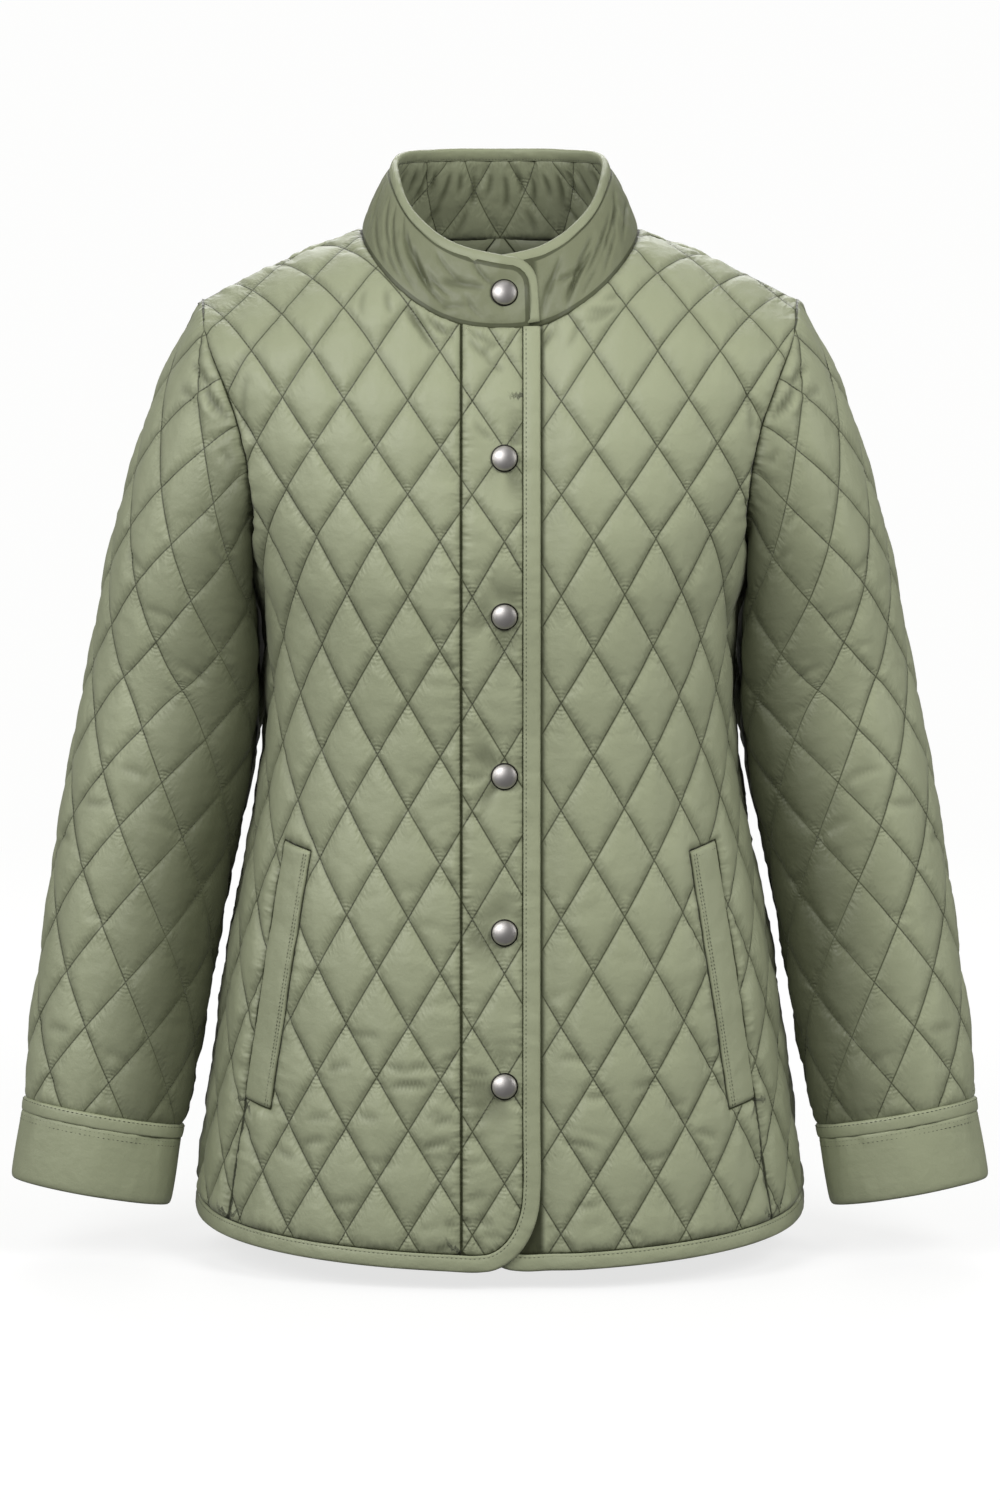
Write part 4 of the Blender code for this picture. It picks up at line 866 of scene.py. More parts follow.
CREASE_RISE = 1.6           # they are full once the padding, as a share, is 1 through this
FOLD_BOW = 0.12             # how much the folds of the tables bend
SHOULDER_SINK = 0.0058      # the cloth lies this much lower at the shoulder points
SHOULDER_SPOT = (0.203, -0.022)     # a shoulder point on the flat front and back
SHOULDER_REACH = 0.038
SHOULDER_LONG = 1.6         # it reaches this many times further along than up
SLEEVE_SPOT_UP = 0.004      # the shoulder point on a flat sleeve
SLEEVE_SPOT_REACH = 0.045
FRONT_COVERED = 0.0272      # along, up to where the placket lies over the left front; painted shadow darkens the left front there
FRONT_COVERED_FADE = 0.0042
FRONT_COVERED_SHADOW = 0.9
COLLAR_COVERED = 0.272      # along, from where the collar's right end lies over its left end; painted shadow darkens the left end there
COLLAR_COVERED_FADE = 0.006
COLLAR_COVERED_SHADOW = 0.8
COLLAR_END_SHADE = (0.24, 0.10, 0.09)        # painted shade: the ends are this much darker, from here on, over this distance
CREASED_EDGE = 0.09         # the fronts are creased this far from the placket's seam
CREASED_LOW = (-0.20, 0.30)         # and from this height down, over this distance
SHOULDER_PRESS = 0.8        # the padding is this much flatter at a shoulder point
SHOULDER_FLAT = (0.45, -0.055, 0.05)        # and this much along the seam, from this height, over this
SLEEVE_PUFF = 0.76          # padding of the sleeves, as a share
SLEEVE_SPOT_PRESS = 0.5
SLEEVE_PAINTED_SHADE = 0.80          # painted shade: the sleeves' side turned to the body is painted this much darker
SLEEVE_LIGHTER = (0.25, 0.42, 0.14)         # and this much less so from here down, over this distance
SLEEVE_PLAIN_STEP = 0.008
BACK_CREASES = 0.5          # shares of the creases
SLEEVE_CREASES = 0.6
COLLAR_PUFF = 0.6
COLLAR_PLAIN_STEP = 0.0017
# painted shade on the collar's quilted inside face
COLLAR_INSIDE_SHADE = 0.36
WRINKLE_HEIGHT = 0.047      # the collar's plain face is raised up to this height
WRINKLE_BASE = 0.0028       # by this much
WRINKLE_SHARE = 1.3         # and its folds count this much
WRINKLE_FINE = (0.0005, 0.0075)     # height and length of a fine unevenness
SNAP_HOLLOW = (0.9, 1.35)   # share by which that is pressed down round the snap, and how many radii wide
SNAP_FOLD = 0.0013          # height of the short folds round a snap
SNAP_FOLD_START = 0.8       # they start under its rim, at this share of its radius
SNAP_FOLD_REACH = 0.0065
SNAP_FOLDS = 11             # swings of them round a snap
CUFF_GATHER_FADE = 0.22     # share of the cuff's height over which its gathers die out
CUFF_GATHER = (0.0007, 34)  # height of the gathers, and how many there are round the cuff
CUFF_GATHER_FINE = (0.0004, 71)
CUFF_WAVE = (0.0009, 11)    # the same for the slow waves
STRIP_WAVE = 0.0002
STITCH_CLEAR = 0.0025       # no quilting stitch is nearer to a seam than this
COLLAR_STITCH = (0.0014, 0.0003)    # distance of the stitches from the collar's binding, and their height
NECK_STITCH = (0.0016, 0.0004)      # and from the neck seam
NECK_STITCH_END = 0.002     # they end this far from the collar's ends
NECK_STITCH_POINTS = 200
PATH_STEP = 0.004           # spacing of points along bindings

CAMERA_DISTANCE = 8.0
CAMERA_RISE = math.radians(9)
CAMERA_AIM = -0.3535        # height that the camera looks at
CAMERA_LENS = 282.36        # millimetres, as the sensor's height is
SENSOR = 36.0
FLOOR = -0.6985
FLOOR_HALF = 30.0
FLOOR_FADE = (0.7, 1.7)     # from the jacket outwards, the floor turns from paper to plain light
PAPER = 0.238               # the paper's grey beside the jacket
PAPER_LIGHT = (0.745, 0.985)        # light that the floor gives beside the jacket and far from it
WORLD_LIGHT = 0.13
LIGHT_AIM = -0.12           # height the lights aim at, measured from where the camera looks
LIGHT_DISTANCE = 3.2
LIGHTS = (                  # strength, size, degrees round from the front, degrees up, seen in shiny parts
    ("key_left", 1.97, 1.7, -36, 34, True),
    ("key_right", 2.02, 1.4, 36, 34, False),
    ("top", 0.20, 1.6, 0, 86, True),
    ("left", 0.58, 1.4, -82, 22, True),
    ("right", 0.48, 1.4, 82, 22, True),
    ("back", 2.0, 2.0, 180, 35, True),
)


# Folds on the flat pieces, in millimetres: along, up, half length, half width, height,
# and the turn in degrees
RIGHT_FOLDS = (
    (75, -36, 9, 2, -1.6, 82), (60, -46, 10, 2, -1.8, 63), (53, -55, 16, 2.2, -2.4, 61),
    (44, -52, 9, 1.9, -1.8, 45), (37, -56, 9, 1.8, -1.6, 40), (92, -36, 9, 2.2, -1.2, 96),
    (176, -105, 18, 2.8, -1.2, 96), (186, -150, 18, 2.6, -1.2, 80), (61, -558, 12, 2.2, -2.4, 178),
    (70, -547, 7, 1.8, -1.5, 9), (54, -546, 7, 1.8, -1.6, 176), (36, -581, 8, 1.9, -2, 168),
    (44, -578, 6, 1.8, -1.3, 160), (43, -598, 10, 2.2, -2.4, 166), (31, -601, 4, 1.4, -1.8, 150),
    (109, -548, 8, 2.2, -1.6, 164), (90, -526, 9, 2.4, -1.4, 178), (128, -600, 9, 2.2, -1.6, 165),
    (89, -581, 8, 2.4, -1.4, 8), (123, -583, 8, 2.2, -1.4, 171), (32, -652, 5, 1.5, -2.2, 176),
    (38, -668, 7, 1.6, -2.4, 158), (30, -672, 4, 1.4, -2, 140), (105, -639, 10, 2.4, -1.5, 173),
    (150, -610, 9, 2.4, -1.4, 18), (78, -612, 8, 2.2, -1.2, 6), (34, -540, 6, 1.5, -1.4, 160),
    (33, -500, 6, 1.6, -1.2, 20),
)
LEFT_FOLDS = (
    (31, -60, 7, 2, -2.4, 53), (69, -43, 10, 1.9, -1.8, 6), (66, -48, 8, 1.8, -1.4, 16),
    (75, -32, 8, 1.9, -1.4, 38), (50, -58, 9, 2.2, -1.4, 64), (172, -110, 18, 2.8, -1.2, 98),
    (184, -146, 18, 2.6, -1.2, 82), (50, -540, 10, 2.2, -1.6, 175), (66, -566, 9, 2, -1.8, 7),
    (54, -598, 10, 2.2, -1.8, 170), (98, -560, 9, 2.2, -1.4, 177), (104, -610, 10, 2.2, -1.5, 8),
    (142, -596, 9, 2.2, -1.4, 160), (60, -640, 9, 2.1, -1.5, 12), (88, -660, 9, 2.2, -1.4, 174),
    (120, -575, 8, 2.2, -1.3, 10),
)
PLACKET_FOLDS = (
    (13, -60, 9, 1.9, -2, 29), (15, -68, 9, 1.8, -1.8, 40), (6, -66, 7, 1.7, -1.5, 150),
    (4, -78, 7, 1.8, -1.6, 30), (16, -633, 7, 2, -1.4, 170), (10, -651, 6, 1.8, -1.6, 14),
    (16, -550, 8, 1.7, -2, 8), (15, -558, 9, 1.7, -2.2, 172), (20, -564, 5, 1.5, -1.6, 26),
    (16, -446, 8, 1.8, -1.8, 20), (15, -455, 8, 1.7, -2, 176), (17, -462, 6, 1.6, -1.6, 165),
    (14, -340, 7, 1.8, -1.4, 35), (16, -352, 7, 1.7, -1.4, 178), (4, -222, 7, 1.7, -1.4, 80),
    (12, -120, 8, 2, -1.3, 40),
)
BACK_FOLDS = (
    (60, -40, 12, 2.4, -1.5, 66), (-52, -44, 13, 2.4, -1.6, 118), (150, -120, 18, 3, -1.4, 84),
    (-158, -110, 18, 3, -1.4, 98), (165, -160, 20, 2.8, -1.3, 78), (-168, -155, 21, 2.8, -1.3, 104),
    (30, -300, 12, 2.8, -1.2, 5), (-45, -330, 13, 2.8, -1.3, 174), (95, -360, 12, 2.6, -1.3, 8),
    (-110, -345, 12, 2.6, -1.2, 171), (10, -400, 11, 2.4, -1.2, 176), (65, -540, 10, 2.2, -1.5, 6),
    (-70, -560, 10, 2.2, -1.6, 175), (-20, -600, 11, 2.2, -1.4, 3), (120, -600, 10, 2.2, -1.4, 173),
    (-135, -590, 10, 2.2, -1.5, 10), (40, -650, 10, 2.2, -1.3, 171), (-85, -645, 10, 2.2, -1.3, 8),
)
SLEEVE_FOLDS = (
    (-47, -32, 11, 1.8, -2.6, 156), (-31, -45, 10, 1.6, -2.8, 144), (-35, -50, 9, 1.4, 1.8, 146),
    (-23, -50, 11, 1.6, -2.8, 150), (-52, -48, 7, 3, -1.6, 170), (-3, -81, 7, 1.8, -2.2, 141),
    (0, -125, 7, 2, -2, 143), (12, -150, 8, 2.2, -1.8, 138), (-20, -196, 13, 3.2, -1.4, 168),
    (-46, -168, 11, 3, -1.3, 158), (6, -235, 11, 3, -1.5, 150), (-18, -318, 12, 3, -1.6, 168),
    (-42, -345, 12, 3, -1.5, 10), (10, -352, 12, 2.8, -1.6, 154), (-70, -372, 10, 3, -1.2, 172),
    (-24, -420, 10, 2.8, -1.2, 8), (-40, -500, 9, 2.6, -1.2, 176), (4, -512, 9, 2.4, -1.4, 160),
    (-160, -60, 13, 2.2, -2, 40), (-175, -80, 13, 2.2, -2, 48), (-190, -120, 12, 2.6, -1.6, 42),
    (-180, -320, 14, 3, -1.5, 14), (-155, -350, 14, 3, -1.4, 172), (-200, -385, 12, 3, -1.3, 8),
    (-170, -500, 10, 2.6, -1.2, 176), (-250, -160, 12, 2.8, -1.4, 30),
)
COLLAR_FOLDS = (
    (-232, 26, 18, 2.4, -2.4, 42), (-242, 22, 14, 3, -2.4, 38), (-250, 13, 15, 2.1, -1.9, 32),
    (-227, 11, 15, 1.9, -1.4, 30), (-214, 8, 13, 2, -1.5, 18), (-188, 10, 20, 2.6, -1.6, 26),
    (-257, 18, 11, 1.9, -1.6, 26), (-288, 35, 11, 1.7, -2.3, 48), (-276, 25, 17, 3.4, -2, 174),
    (-270, 8, 11, 2, -1.4, 160), (-283, 10, 10, 1.7, -1.3, 49), (-221, 32, 17, 2, -1.8, 48),
    (-206, 27, 20, 2.2, -1.7, 50), (-193, 26, 18, 2.4, -1.5, 44), (-262, 33, 13, 1.9, -1.6, 34),
    (-300, 20, 13, 2.2, -1.4, 70), (251, 22, 11, 1.9, -1.9, 6), (242, 20, 17, 2.4, -2.6, 146),
    (248, 15, 15, 2, -1.9, 128), (218, 26, 24, 2.2, -1.8, 156), (234, 31, 13, 1.9, -1.8, 148),
    (198, 27, 22, 2.3, -1.7, 162), (165, 20, 22, 2.6, -1.7, 168), (235, 9, 11, 1.9, -1.5, 150),
    (263, 28, 13, 2, -2, 118), (271, 16, 13, 2.4, -1.8, 108), (210, 13, 15, 2, -1.4, 150),
    (182, 32, 17, 2.2, -1.5, 150), (-160, 26, 13, 2.4, -1, 62), (-132, 20, 12, 2.6, -0.9, 76),
    (-103, 27, 13, 2.6, -1, 70), (-70, 22, 12, 2.8, -0.8, 84), (-38, 26, 12, 2.8, -0.8, 78),
    (-4, 22, 12, 2.8, -0.8, 96), (32, 27, 12, 2.8, -0.9, 88), (64, 21, 12, 2.8, -0.8, 102),
    (98, 27, 13, 2.6, -1, 98), (131, 21, 12, 2.6, -1, 116),
)
INNER_COLLAR_FOLDS = (      # short gathers that hang from the binding inside the collar
    (-98, 35, 9, 1.8, -1.8, 84), (-84, 38, 8, 1.6, -1.8, 97), (-71, 36, 10, 1.7, -2, 86),
    (-60, 39, 7, 1.5, -1.7, 100), (-47, 35, 11, 1.8, -1.9, 80), (-35, 39, 7, 1.5, -1.7, 96),
    (-22, 34, 11, 1.9, -1.8, 92), (-9, 38, 8, 1.6, -1.6, 84), (6, 32, 12, 2, -1.8, 88),
    (18, 39, 7, 1.5, -1.7, 98), (29, 34, 10, 1.8, -1.8, 82), (42, 38, 8, 1.6, -1.8, 99),
    (54, 34, 11, 1.8, -2, 85), (67, 39, 7, 1.5, -1.7, 94), (81, 35, 10, 1.8, -1.9, 101),
    (96, 36, 9, 1.8, -1.8, 88), (-52, 15, 9, 2, -1.6, 62), (-28, 12, 8, 2, -1.4, 70),
    (24, 13, 8, 2, -1.5, 112), (58, 15, 9, 2, -1.6, 120),
)


# ---------------------------------------------------------------- uneven numbers

def dice(*keys):
    """Repeatable numbers from 0 to 1 for whole-number keys."""
    mix = 0.0
    for key, weight in zip(keys, (12.9898, 78.2331, 37.7193, 4.5813)):
        mix = mix + np.asarray(key, float) * weight
    value = np.sin(mix) * 43758.5453
    return value - np.floor(value)


def ripple(place, line=0.0):
    """Smooth uneven wave, from -1 to 1, with about one swing in two units; different on each line."""
    cell = np.floor(place)
    t = fade(place - cell)
    return 2 * (dice(cell, line) * (1 - t) + dice(cell + 1, line) * t) - 1


def swell(distance, width):
    """0 on a line, 1 at a distance of one width from it, then dying out."""
    share = distance / width
    return share * np.exp(1 - share)


# ---------------------------------------------------------------- relief of quilted cloth

def pillow(quilt, points):
    """Share of the full padding: steep beside the stitch lines and nearly level between them."""
    full = 1 - math.exp(-0.5 * ROW_GAP / PLUMP_REACH)
    share = np.ones(len(points))
    for number in quilt.numbers(points):
        away = np.abs(number - np.round(number)) * ROW_GAP
        share *= (1 - np.exp(-away / PLUMP_REACH)) / full
    return share


def gathers(quilt, points, salt):
    """Small puckers square to the stitch lines, strongest where lines cross."""
    first, second = quilt.numbers(points)
    total = np.zeros(len(points))
    for across, along, family in ((first, second, 1.0), (second, first, 2.0)):
        line = np.round(across)
        off = (across - line) * ROW_GAP
        run = along * LINE_UNIT
        key = line * 3 + np.sign(off) + 50 * family + salt
        lean = off * (0.8 * ripple(run / GATHER_LEAN, key + 7) + 0.3)
        wave = ripple((run + lean) / GATHER, key) + 0.6 * ripple((run - lean) / GATHER_WIDE, key + 31)
        crossing = np.exp(-(((along - np.round(along)) * LINE_UNIT / CROSSING_REACH) ** 2))
        total += wave * swell(np.abs(off), GATHER) * (0.35 + 0.75 * crossing)
    return PUCKER * total


def rhomb_creases(quilt, points, salt):
    """A few soft, mostly level creases inside each rhomb, uneven in length, depth and place."""
    first, second = quilt.numbers(points)
    cell_a, cell_b = np.floor(first), np.floor(second)
    centre = quilt.place(cell_a + 0.5, cell_b + 0.5)
    total = np.zeros(len(points))
    for number in range(CREASES_EACH):
        pick = [dice(cell_a, cell_b, salt + 10 * number + k) for k in range(6)]
        x = points[:, 0] - centre[:, 0] - CREASE_PLACE[0] * (pick[0] - 0.5)
        z = points[:, 1] - centre[:, 1] - CREASE_PLACE[1] * (pick[1] - 0.5)
        turn = CREASE_TURN * (pick[2] - 0.5)
        u = x * np.cos(turn) + z * np.sin(turn)
        v = z * np.cos(turn) - x * np.sin(turn) + CREASE_BOW * u * np.abs(u) * (pick[5] - 0.5)
        half = CREASE_LONG[0] + CREASE_LONG[1] * pick[3]
        wide = CREASE_WIDE[0] + CREASE_WIDE[1] * pick[4]
        height = (pick[5] - 0.75) * (0.5 + pick[3])
        total += height * np.exp(-((u / half) ** 2)) * np.exp(-((v / wide) ** 2))
    return total


def folds(points, table, least=0.0):
    """Soft ridges and troughs of a table of folds."""
    total = np.zeros(len(points))
    for row in table:
        along, up, half, wide, height = (0.001 * value for value in row[:5])
        wide = max(wide, least)
        angle = math.radians(row[5])
        x, z = points[:, 0] - along, points[:, 1] - up
        u = x * math.cos(angle) + z * math.sin(angle)
        v = z * math.cos(angle) - x * math.sin(angle)
        bow = v - FOLD_BOW * u * u / half
        total += height * np.exp(-((u / half) ** 4)) * np.exp(-((bow / wide) ** 2))
    return total


# ---------------------------------------------------------------- pieces

def add_object(name, points, faces, materials, slots=None, maps=None, mirrored=False):
    """A smooth mesh in the jacket's frame; slots has a material number for each face, maps UV points."""
    points = np.asarray(points, float)
    if mirrored:
        points = points * np.array([-1.0, 1.0, 1.0])
    mesh = bpy.data.meshes.new(name)
    mesh.from_pydata(points.tolist(), [], faces)
    for material in materials:
        mesh.materials.append(MATERIALS[material])
    if slots is not None:
        mesh.polygons.foreach_set("material_index", np.asarray(slots, np.int32))
    work = bmesh.new()
    work.from_mesh(mesh)
    bmesh.ops.recalc_face_normals(work, faces=work.faces)
    work.to_mesh(mesh)
    work.free()
    corner = np.zeros(len(mesh.loops), np.int32)
    mesh.loops.foreach_get("vertex_index", corner)
    for title, places in (maps or {}).items():
        layer = mesh.uv_layers.new(name=title)
        layer.data.foreach_set("uv", np.asarray(places, np.float32)[corner].ravel())
    mesh.shade_smooth()
    mesh.update()
    obj = bpy.data.objects.new(name, mesh)
    bpy.context.scene.collection.objects.link(obj)
    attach(obj, "root")
    return obj


def close_points(polygon, step):
    """The same closed outline with a point at least every step, corners kept."""
    parts = []
    for a, b in sides_of(polygon):
        count = max(1, int(math.ceil(np.linalg.norm(b - a) / step)))
        parts.append(a + (b - a) * (np.arange(count) / count)[:, None])
    return np.vstack(parts)


def turned_area(polygon):
    """Area of an outline, below 0 where it runs clockwise."""
    x, z = polygon.T
    return float(np.sum(x * np.roll(z, -1) - z * np.roll(x, -1)) / 2)


def grown(polygon, distance):
    """A closed outline moved outwards."""
    along = unit(np.roll(polygon, -1, axis=0) - np.roll(polygon, 1, axis=0))
    return polygon + distance * np.sign(turned_area(polygon)) * pairs(along[:, 1], -along[:, 0])


def nearest_edge(polygon, points):
    """Distance of each point from a polygon's edges, and the distance round to the nearest place."""
    best = np.full(len(points), 1.0)
    where = np.zeros(len(points))
    run = 0.0
    for a, b in sides_of(polygon):
        way = b - a
        length = np.linalg.norm(way)
        share = np.clip(((points - a) @ way) / max(length**2, 1e-14), 0, 1)
        distance = np.linalg.norm(points - a - share[:, None] * way, axis=1)
        closer = distance < best
        best[closer] = distance[closer]
        where[closer] = run + share[closer] * length
        run += length
    return best, where


def triangulate(flat, lines, wanted):
    """Triangles between fixed lines; each area that the lines enclose is kept or dropped as a whole."""
    found = delaunay_2d_cdt([Vector(p) for p in flat], lines, [], 0, 1e-8)
    made = np.array([tuple(v) for v in found[0]])
    faces = np.array(found[2])
    new_of = {old: k for k, olds in enumerate(found[3]) for old in olds}
    fixed = {tuple(sorted((new_of[a], new_of[b]))) for a, b in lines}
    area = list(range(len(faces)))

    def top(k):
        while area[k] != k:
            area[k] = area[area[k]]
            k = area[k]
        return k

    seen = {}
    for k, (a, b, c) in enumerate(faces.tolist()):
        for edge in ((a, b), (b, c), (c, a)):
            edge = (min(edge), max(edge))
            if edge in fixed:
                continue
            if edge in seen:
                area[top(k)] = top(seen[edge])
            else:
                seen[edge] = k
    label = np.array([top(k) for k in range(len(faces))])
    a, b, c = (made[faces[:, k]] for k in range(3))
    size = np.abs((b[:, 0] - a[:, 0]) * (c[:, 1] - a[:, 1]) - (b[:, 1] - a[:, 1]) * (c[:, 0] - a[:, 0]))
    order = np.argsort(-size)
    names, first = np.unique(label[order], return_index=True)
    biggest = order[first]
    solid = size[biggest] > SLIVER
    good = set(names[solid & wanted(made[faces[biggest]].mean(axis=1))].tolist())
    return made, faces[[k in good for k in label.tolist()]], found[3]


def fine_net(quilt, polygon):
    """Points and faces of a fine net along the stitch lines, joined to the outline; outline points first."""
    first, second = quilt.numbers(polygon)
    lines_a, lines_b = (tick_places(v) for v in (first, second))
    a, b = np.meshgrid(lines_a, lines_b, indexing="ij")
    places = quilt.place(a, b).reshape(-1, 2)
    good = inside(polygon, places)
    distance = np.zeros(len(places))
    distance[good] = nearest_edge(polygon, places[good])[0]
    good = (good & (distance > NET_MARGIN)).reshape(a.shape)
    kept = good[:-1, :-1] & good[1:, :-1] & good[:-1, 1:] & good[1:, 1:]
    number = np.arange(a.size).reshape(a.shape)
    quads = np.stack([number[:-1, :-1], number[1:, :-1], number[1:, 1:], number[:-1, 1:]], axis=-1)[kept]

    wide = np.pad(kept, 1)
    edges = []
    rims = ((wide[:-1, 1:-1], wide[1:, 1:-1], 0, 1), (wide[1:-1, :-1], wide[1:-1, 1:], 1, 0))
    for before, after, di, dj in rims:
        i, j = np.nonzero(before != after)
        edges += list(zip(number[i, j].tolist(), number[i + di, j + dj].tolist()))
    used = np.zeros(a.size, bool)
    used[quads.ravel()] = True
    loose = good.ravel() & ~used
    strip = sorted({n for edge in edges for n in edge} | set(np.nonzero(loose)[0].tolist()))
    order = {n: len(polygon) + k for k, n in enumerate(strip)}
    flat = np.vstack([polygon, places[strip]])
    lines = rim_of(polygon) + [(order[p], order[q]) for p, q in edges]

    def wanted(middle):
        mid_a, mid_b = quilt.numbers(middle)
        row = np.clip(np.searchsorted(lines_a, mid_a) - 1, 0, kept.shape[0] - 1)
        column = np.clip(np.searchsorted(lines_b, mid_b) - 1, 0, kept.shape[1] - 1)
        return inside(polygon, middle) & ~kept[row, column]

    made, faces, origins_of = triangulate(flat, lines, wanted)

    inner = np.nonzero(used)[0]
    number_of = np.full(a.size, -1)
    number_of[inner] = len(polygon) + np.arange(len(inner))
    points = [np.asarray(polygon), places[inner]]
    total = len(polygon) + len(inner)
    new = {}
    for k, origins in enumerate(origins_of):
        origin = min(origins) if origins else -1
        place = number_of[strip[origin - len(polygon)]] if origin >= len(polygon) else -1
        if 0 <= origin < len(polygon):
            new[k] = origin
        elif place >= 0:
            new[k] = int(place)
        else:
            points.append(made[k][None])
            new[k] = total
            total += 1
    triangles = [tuple(new[int(v)] for v in face) for face in faces]
    return np.vstack(points), [tuple(int(number_of[v]) for v in quad) for quad in quads] + triangles


def tick_places(values):
    """The fine net's lines of one family, as numbers that are whole on stitch lines."""
    low, high = int(math.floor(values.min())), int(math.ceil(values.max()))
    places = [n + t for n in range(low, high) for t in TICKS]
    return np.array(places + [float(high)])


def coarse_net(polygon, step):
    """Points and faces of a plain net over an outline; outline points first."""
    low, high = polygon.min(axis=0), polygon.max(axis=0)
    x, z = np.meshgrid(np.arange(low[0], high[0], step), np.arange(low[1], high[1], step), indexing="ij")
    x = x + 0.5 * step * (np.arange(x.shape[1]) % 2)
    places = pairs(x.ravel(), z.ravel())
    places = places[inside(polygon, places)]
    places = places[nearest_edge(polygon, places)[0] > 0.45 * step]
    flat = np.vstack([polygon, places])
    made, faces, origins_of = triangulate(flat, rim_of(polygon), lambda middle: inside(polygon, middle))
    new = np.array([min(o) for o in origins_of])
    return flat, [tuple(int(new[v]) for v in face) for face in faces]


def asked(style, name, points, otherwise):
    """One of a style's functions at each point, or the number that stands in for it."""
    return style[name](points) if name in style else np.full(len(points), otherwise)


def quilted_piece(node, form, cut, quilt, style, mirrored=False, side=1.0, salt=0.0):
    """A fine padded panel and its stitches: raised between stitch lines on one face, plain on the other.

    A style may have functions of flat points: depth (how much lower the panel lies), puff (share of the
    padding), creases (share of the creases), more (relief to add), plain (relief of the plain face) and
    shade (painted shade: how much darker the cloth's colour is made). It may have two tables, folds and
    plain_folds, whose troughs are painted darker too. The rest is lap (how far it passes its cut edge),
    plain_step (spacing of the plain net), quilted_shade (painted shade added on the quilted face), and
    plain_cloth (the plain face's material).
    """
    polygon = grown(close_points(cut, EDGE_STEP), style.get("lap", SEAM_LAP))
    flat, faces = fine_net(quilt, polygon)
    distance, run = nearest_edge(polygon, flat)
    rise = (1 - (1 - np.clip(distance / SEAM_ROLL, 0, 1)) ** 2) ** 0.75
    pad = pillow(quilt, flat)
    height = PLUMP * pad * asked(style, "puff", flat, 1.0)
    height = height + gathers(quilt, flat, salt)
    share = asked(style, "creases", flat, 1.0)
    height = height + CREASE * share * rhomb_creases(quilt, flat, salt) * np.minimum(1.0, CREASE_RISE * pad)
    height = height * rise - SEAM_DIP * np.exp(-distance / SEAM_DIP_REACH)
    wave = ripple(run / SEAM_GATHER, salt + 3) + 0.5 * ripple(run / SEAM_GATHER_WIDE, salt + 5)
    near_seam = swell(distance, SEAM_GATHER_REACH) * np.minimum(1, distance / SEAM_GATHER_FADE)
    height = height + SEAM_PUCKER * wave * near_seam
    fold = folds(flat, style.get("folds", ()), FOLD_LEAST) * rise
    height = height + fold + asked(style, "more", flat, 0.0)
    above = laid(form, flat, side * (CLOTH + np.maximum(height, LOWEST)) - asked(style, "depth", flat, 0.0))

    plain, plain_faces = coarse_net(polygon, style.get("plain_step", PLAIN_STEP))
    plain_distance, plain_run = nearest_edge(polygon, plain)
    below = laid(form, plain, asked(style, "plain", plain, 0.0) - asked(style, "depth", plain, 0.0))
    count = len(flat)
    plain_faces = [tuple(count + v for v in reversed(f)) for f in plain_faces]
    walls = [(b, a, count + a, count + b) for a, b in rim_of(polygon)]
    slots = [0] * len(faces) + [1] * len(plain_faces) + [0] * len(walls)
    both = np.vstack([flat, plain])
    # Painted shade: the troughs of folds, the style's shade and quilted_shade darken the cloth's colour,
    # passed to the material in a UV map
    deep = -np.concatenate([fold, PLAIN_FOLD_SHADE * folds(plain, style.get("plain_folds", ()))])
    dark = FOLD_SHADE * np.clip(deep / FOLD_DEEP, 0, 1)
    dark = np.maximum(dark, asked(style, "shade", both, 0.0))
    dark[:count] += style.get("quilted_shade", 0.0)
    seam = pairs(np.concatenate([distance, plain_distance]), np.concatenate([run, plain_run]))
    maps = {"flat": both + salt, "quilt": pairs(*quilt.numbers(both)), "seam": seam, "painted_shade": pairs(dark, 0.0)}
    piece = add_object("cloth_" + node, np.vstack([above, below]), faces + plain_faces + walls,
                       ["quilted", style.get("plain_cloth", "inside")], slots, maps, mirrored)
    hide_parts(node)
    size = np.ptp(cut, axis=0)
    float(size[0])
    float(size[1])
    abs(turned_area(cut))
    quilting(node, form, cut, quilt, side * CLOTH, mirrored, style.get("depth"))


# ---------------------------------------------------------------- sewing

def dashes(name, form, starts, ends, out, mirrored=False):
    """Stitches as small grains of thread between flat points; out is their height off the form."""
    starts, ends = np.asarray(starts, float), np.asarray(ends, float)
    out = np.broadcast_to(np.asarray(out, float), len(starts))
    a = laid(form, starts, out)
    b = laid(form, ends, out)
    up = laid(form, starts, out + 1.0) - a
    aside = unit(np.cross(up, unit(b - a))) * 0.5 * STITCH_WIDE
    middle, high = 0.5 * (a + b), up * STITCH_HIGH
    points = np.stack([a, middle + aside, middle + high, middle - aside, middle - high, b], axis=1)
    faces = []
    for base in range(0, 6 * len(a), 6):
        for m in range(4):
            p, q = base + 1 + m, base + 1 + (m + 1) % 4
            faces += [(base, p, q), (base + 5, q, p)]
    piece = add_object(name, points.reshape(-1, 3), faces, ["thread"], mirrored=mirrored)


def quilting(node, form, polygon, quilt, out, mirrored, depth):
    """Stitches along every stitch line of a panel."""
    first, second = quilt.numbers(polygon)
    starts, ends = [], []
    for across, along, swap in ((first, second, False), (second, first, True)):
        for line in range(int(math.floor(across.min())), int(math.ceil(across.max())) + 1):
            at = np.arange(math.floor(along.min()), math.ceil(along.max()), STITCH_PITCH / LINE_UNIT)
            for share, found in ((0.0, starts), (STITCH_LONG / LINE_UNIT, ends)):
                pair = (np.full(len(at), float(line)), at + share)
                found.append(quilt.place(*(pair[::-1] if swap else pair)))
    starts, ends = np.vstack(starts), np.vstack(ends)
    good = inside(polygon, starts) & inside(polygon, ends)
    starts, ends = starts[good], ends[good]
    good = nearest_edge(polygon, 0.5 * (starts + ends))[0] > STITCH_CLEAR
    starts, ends = starts[good], ends[good]
    sink = depth(starts) if depth else 0.0
    dashes("quilting_" + node, form, starts, ends, out - sink, mirrored)


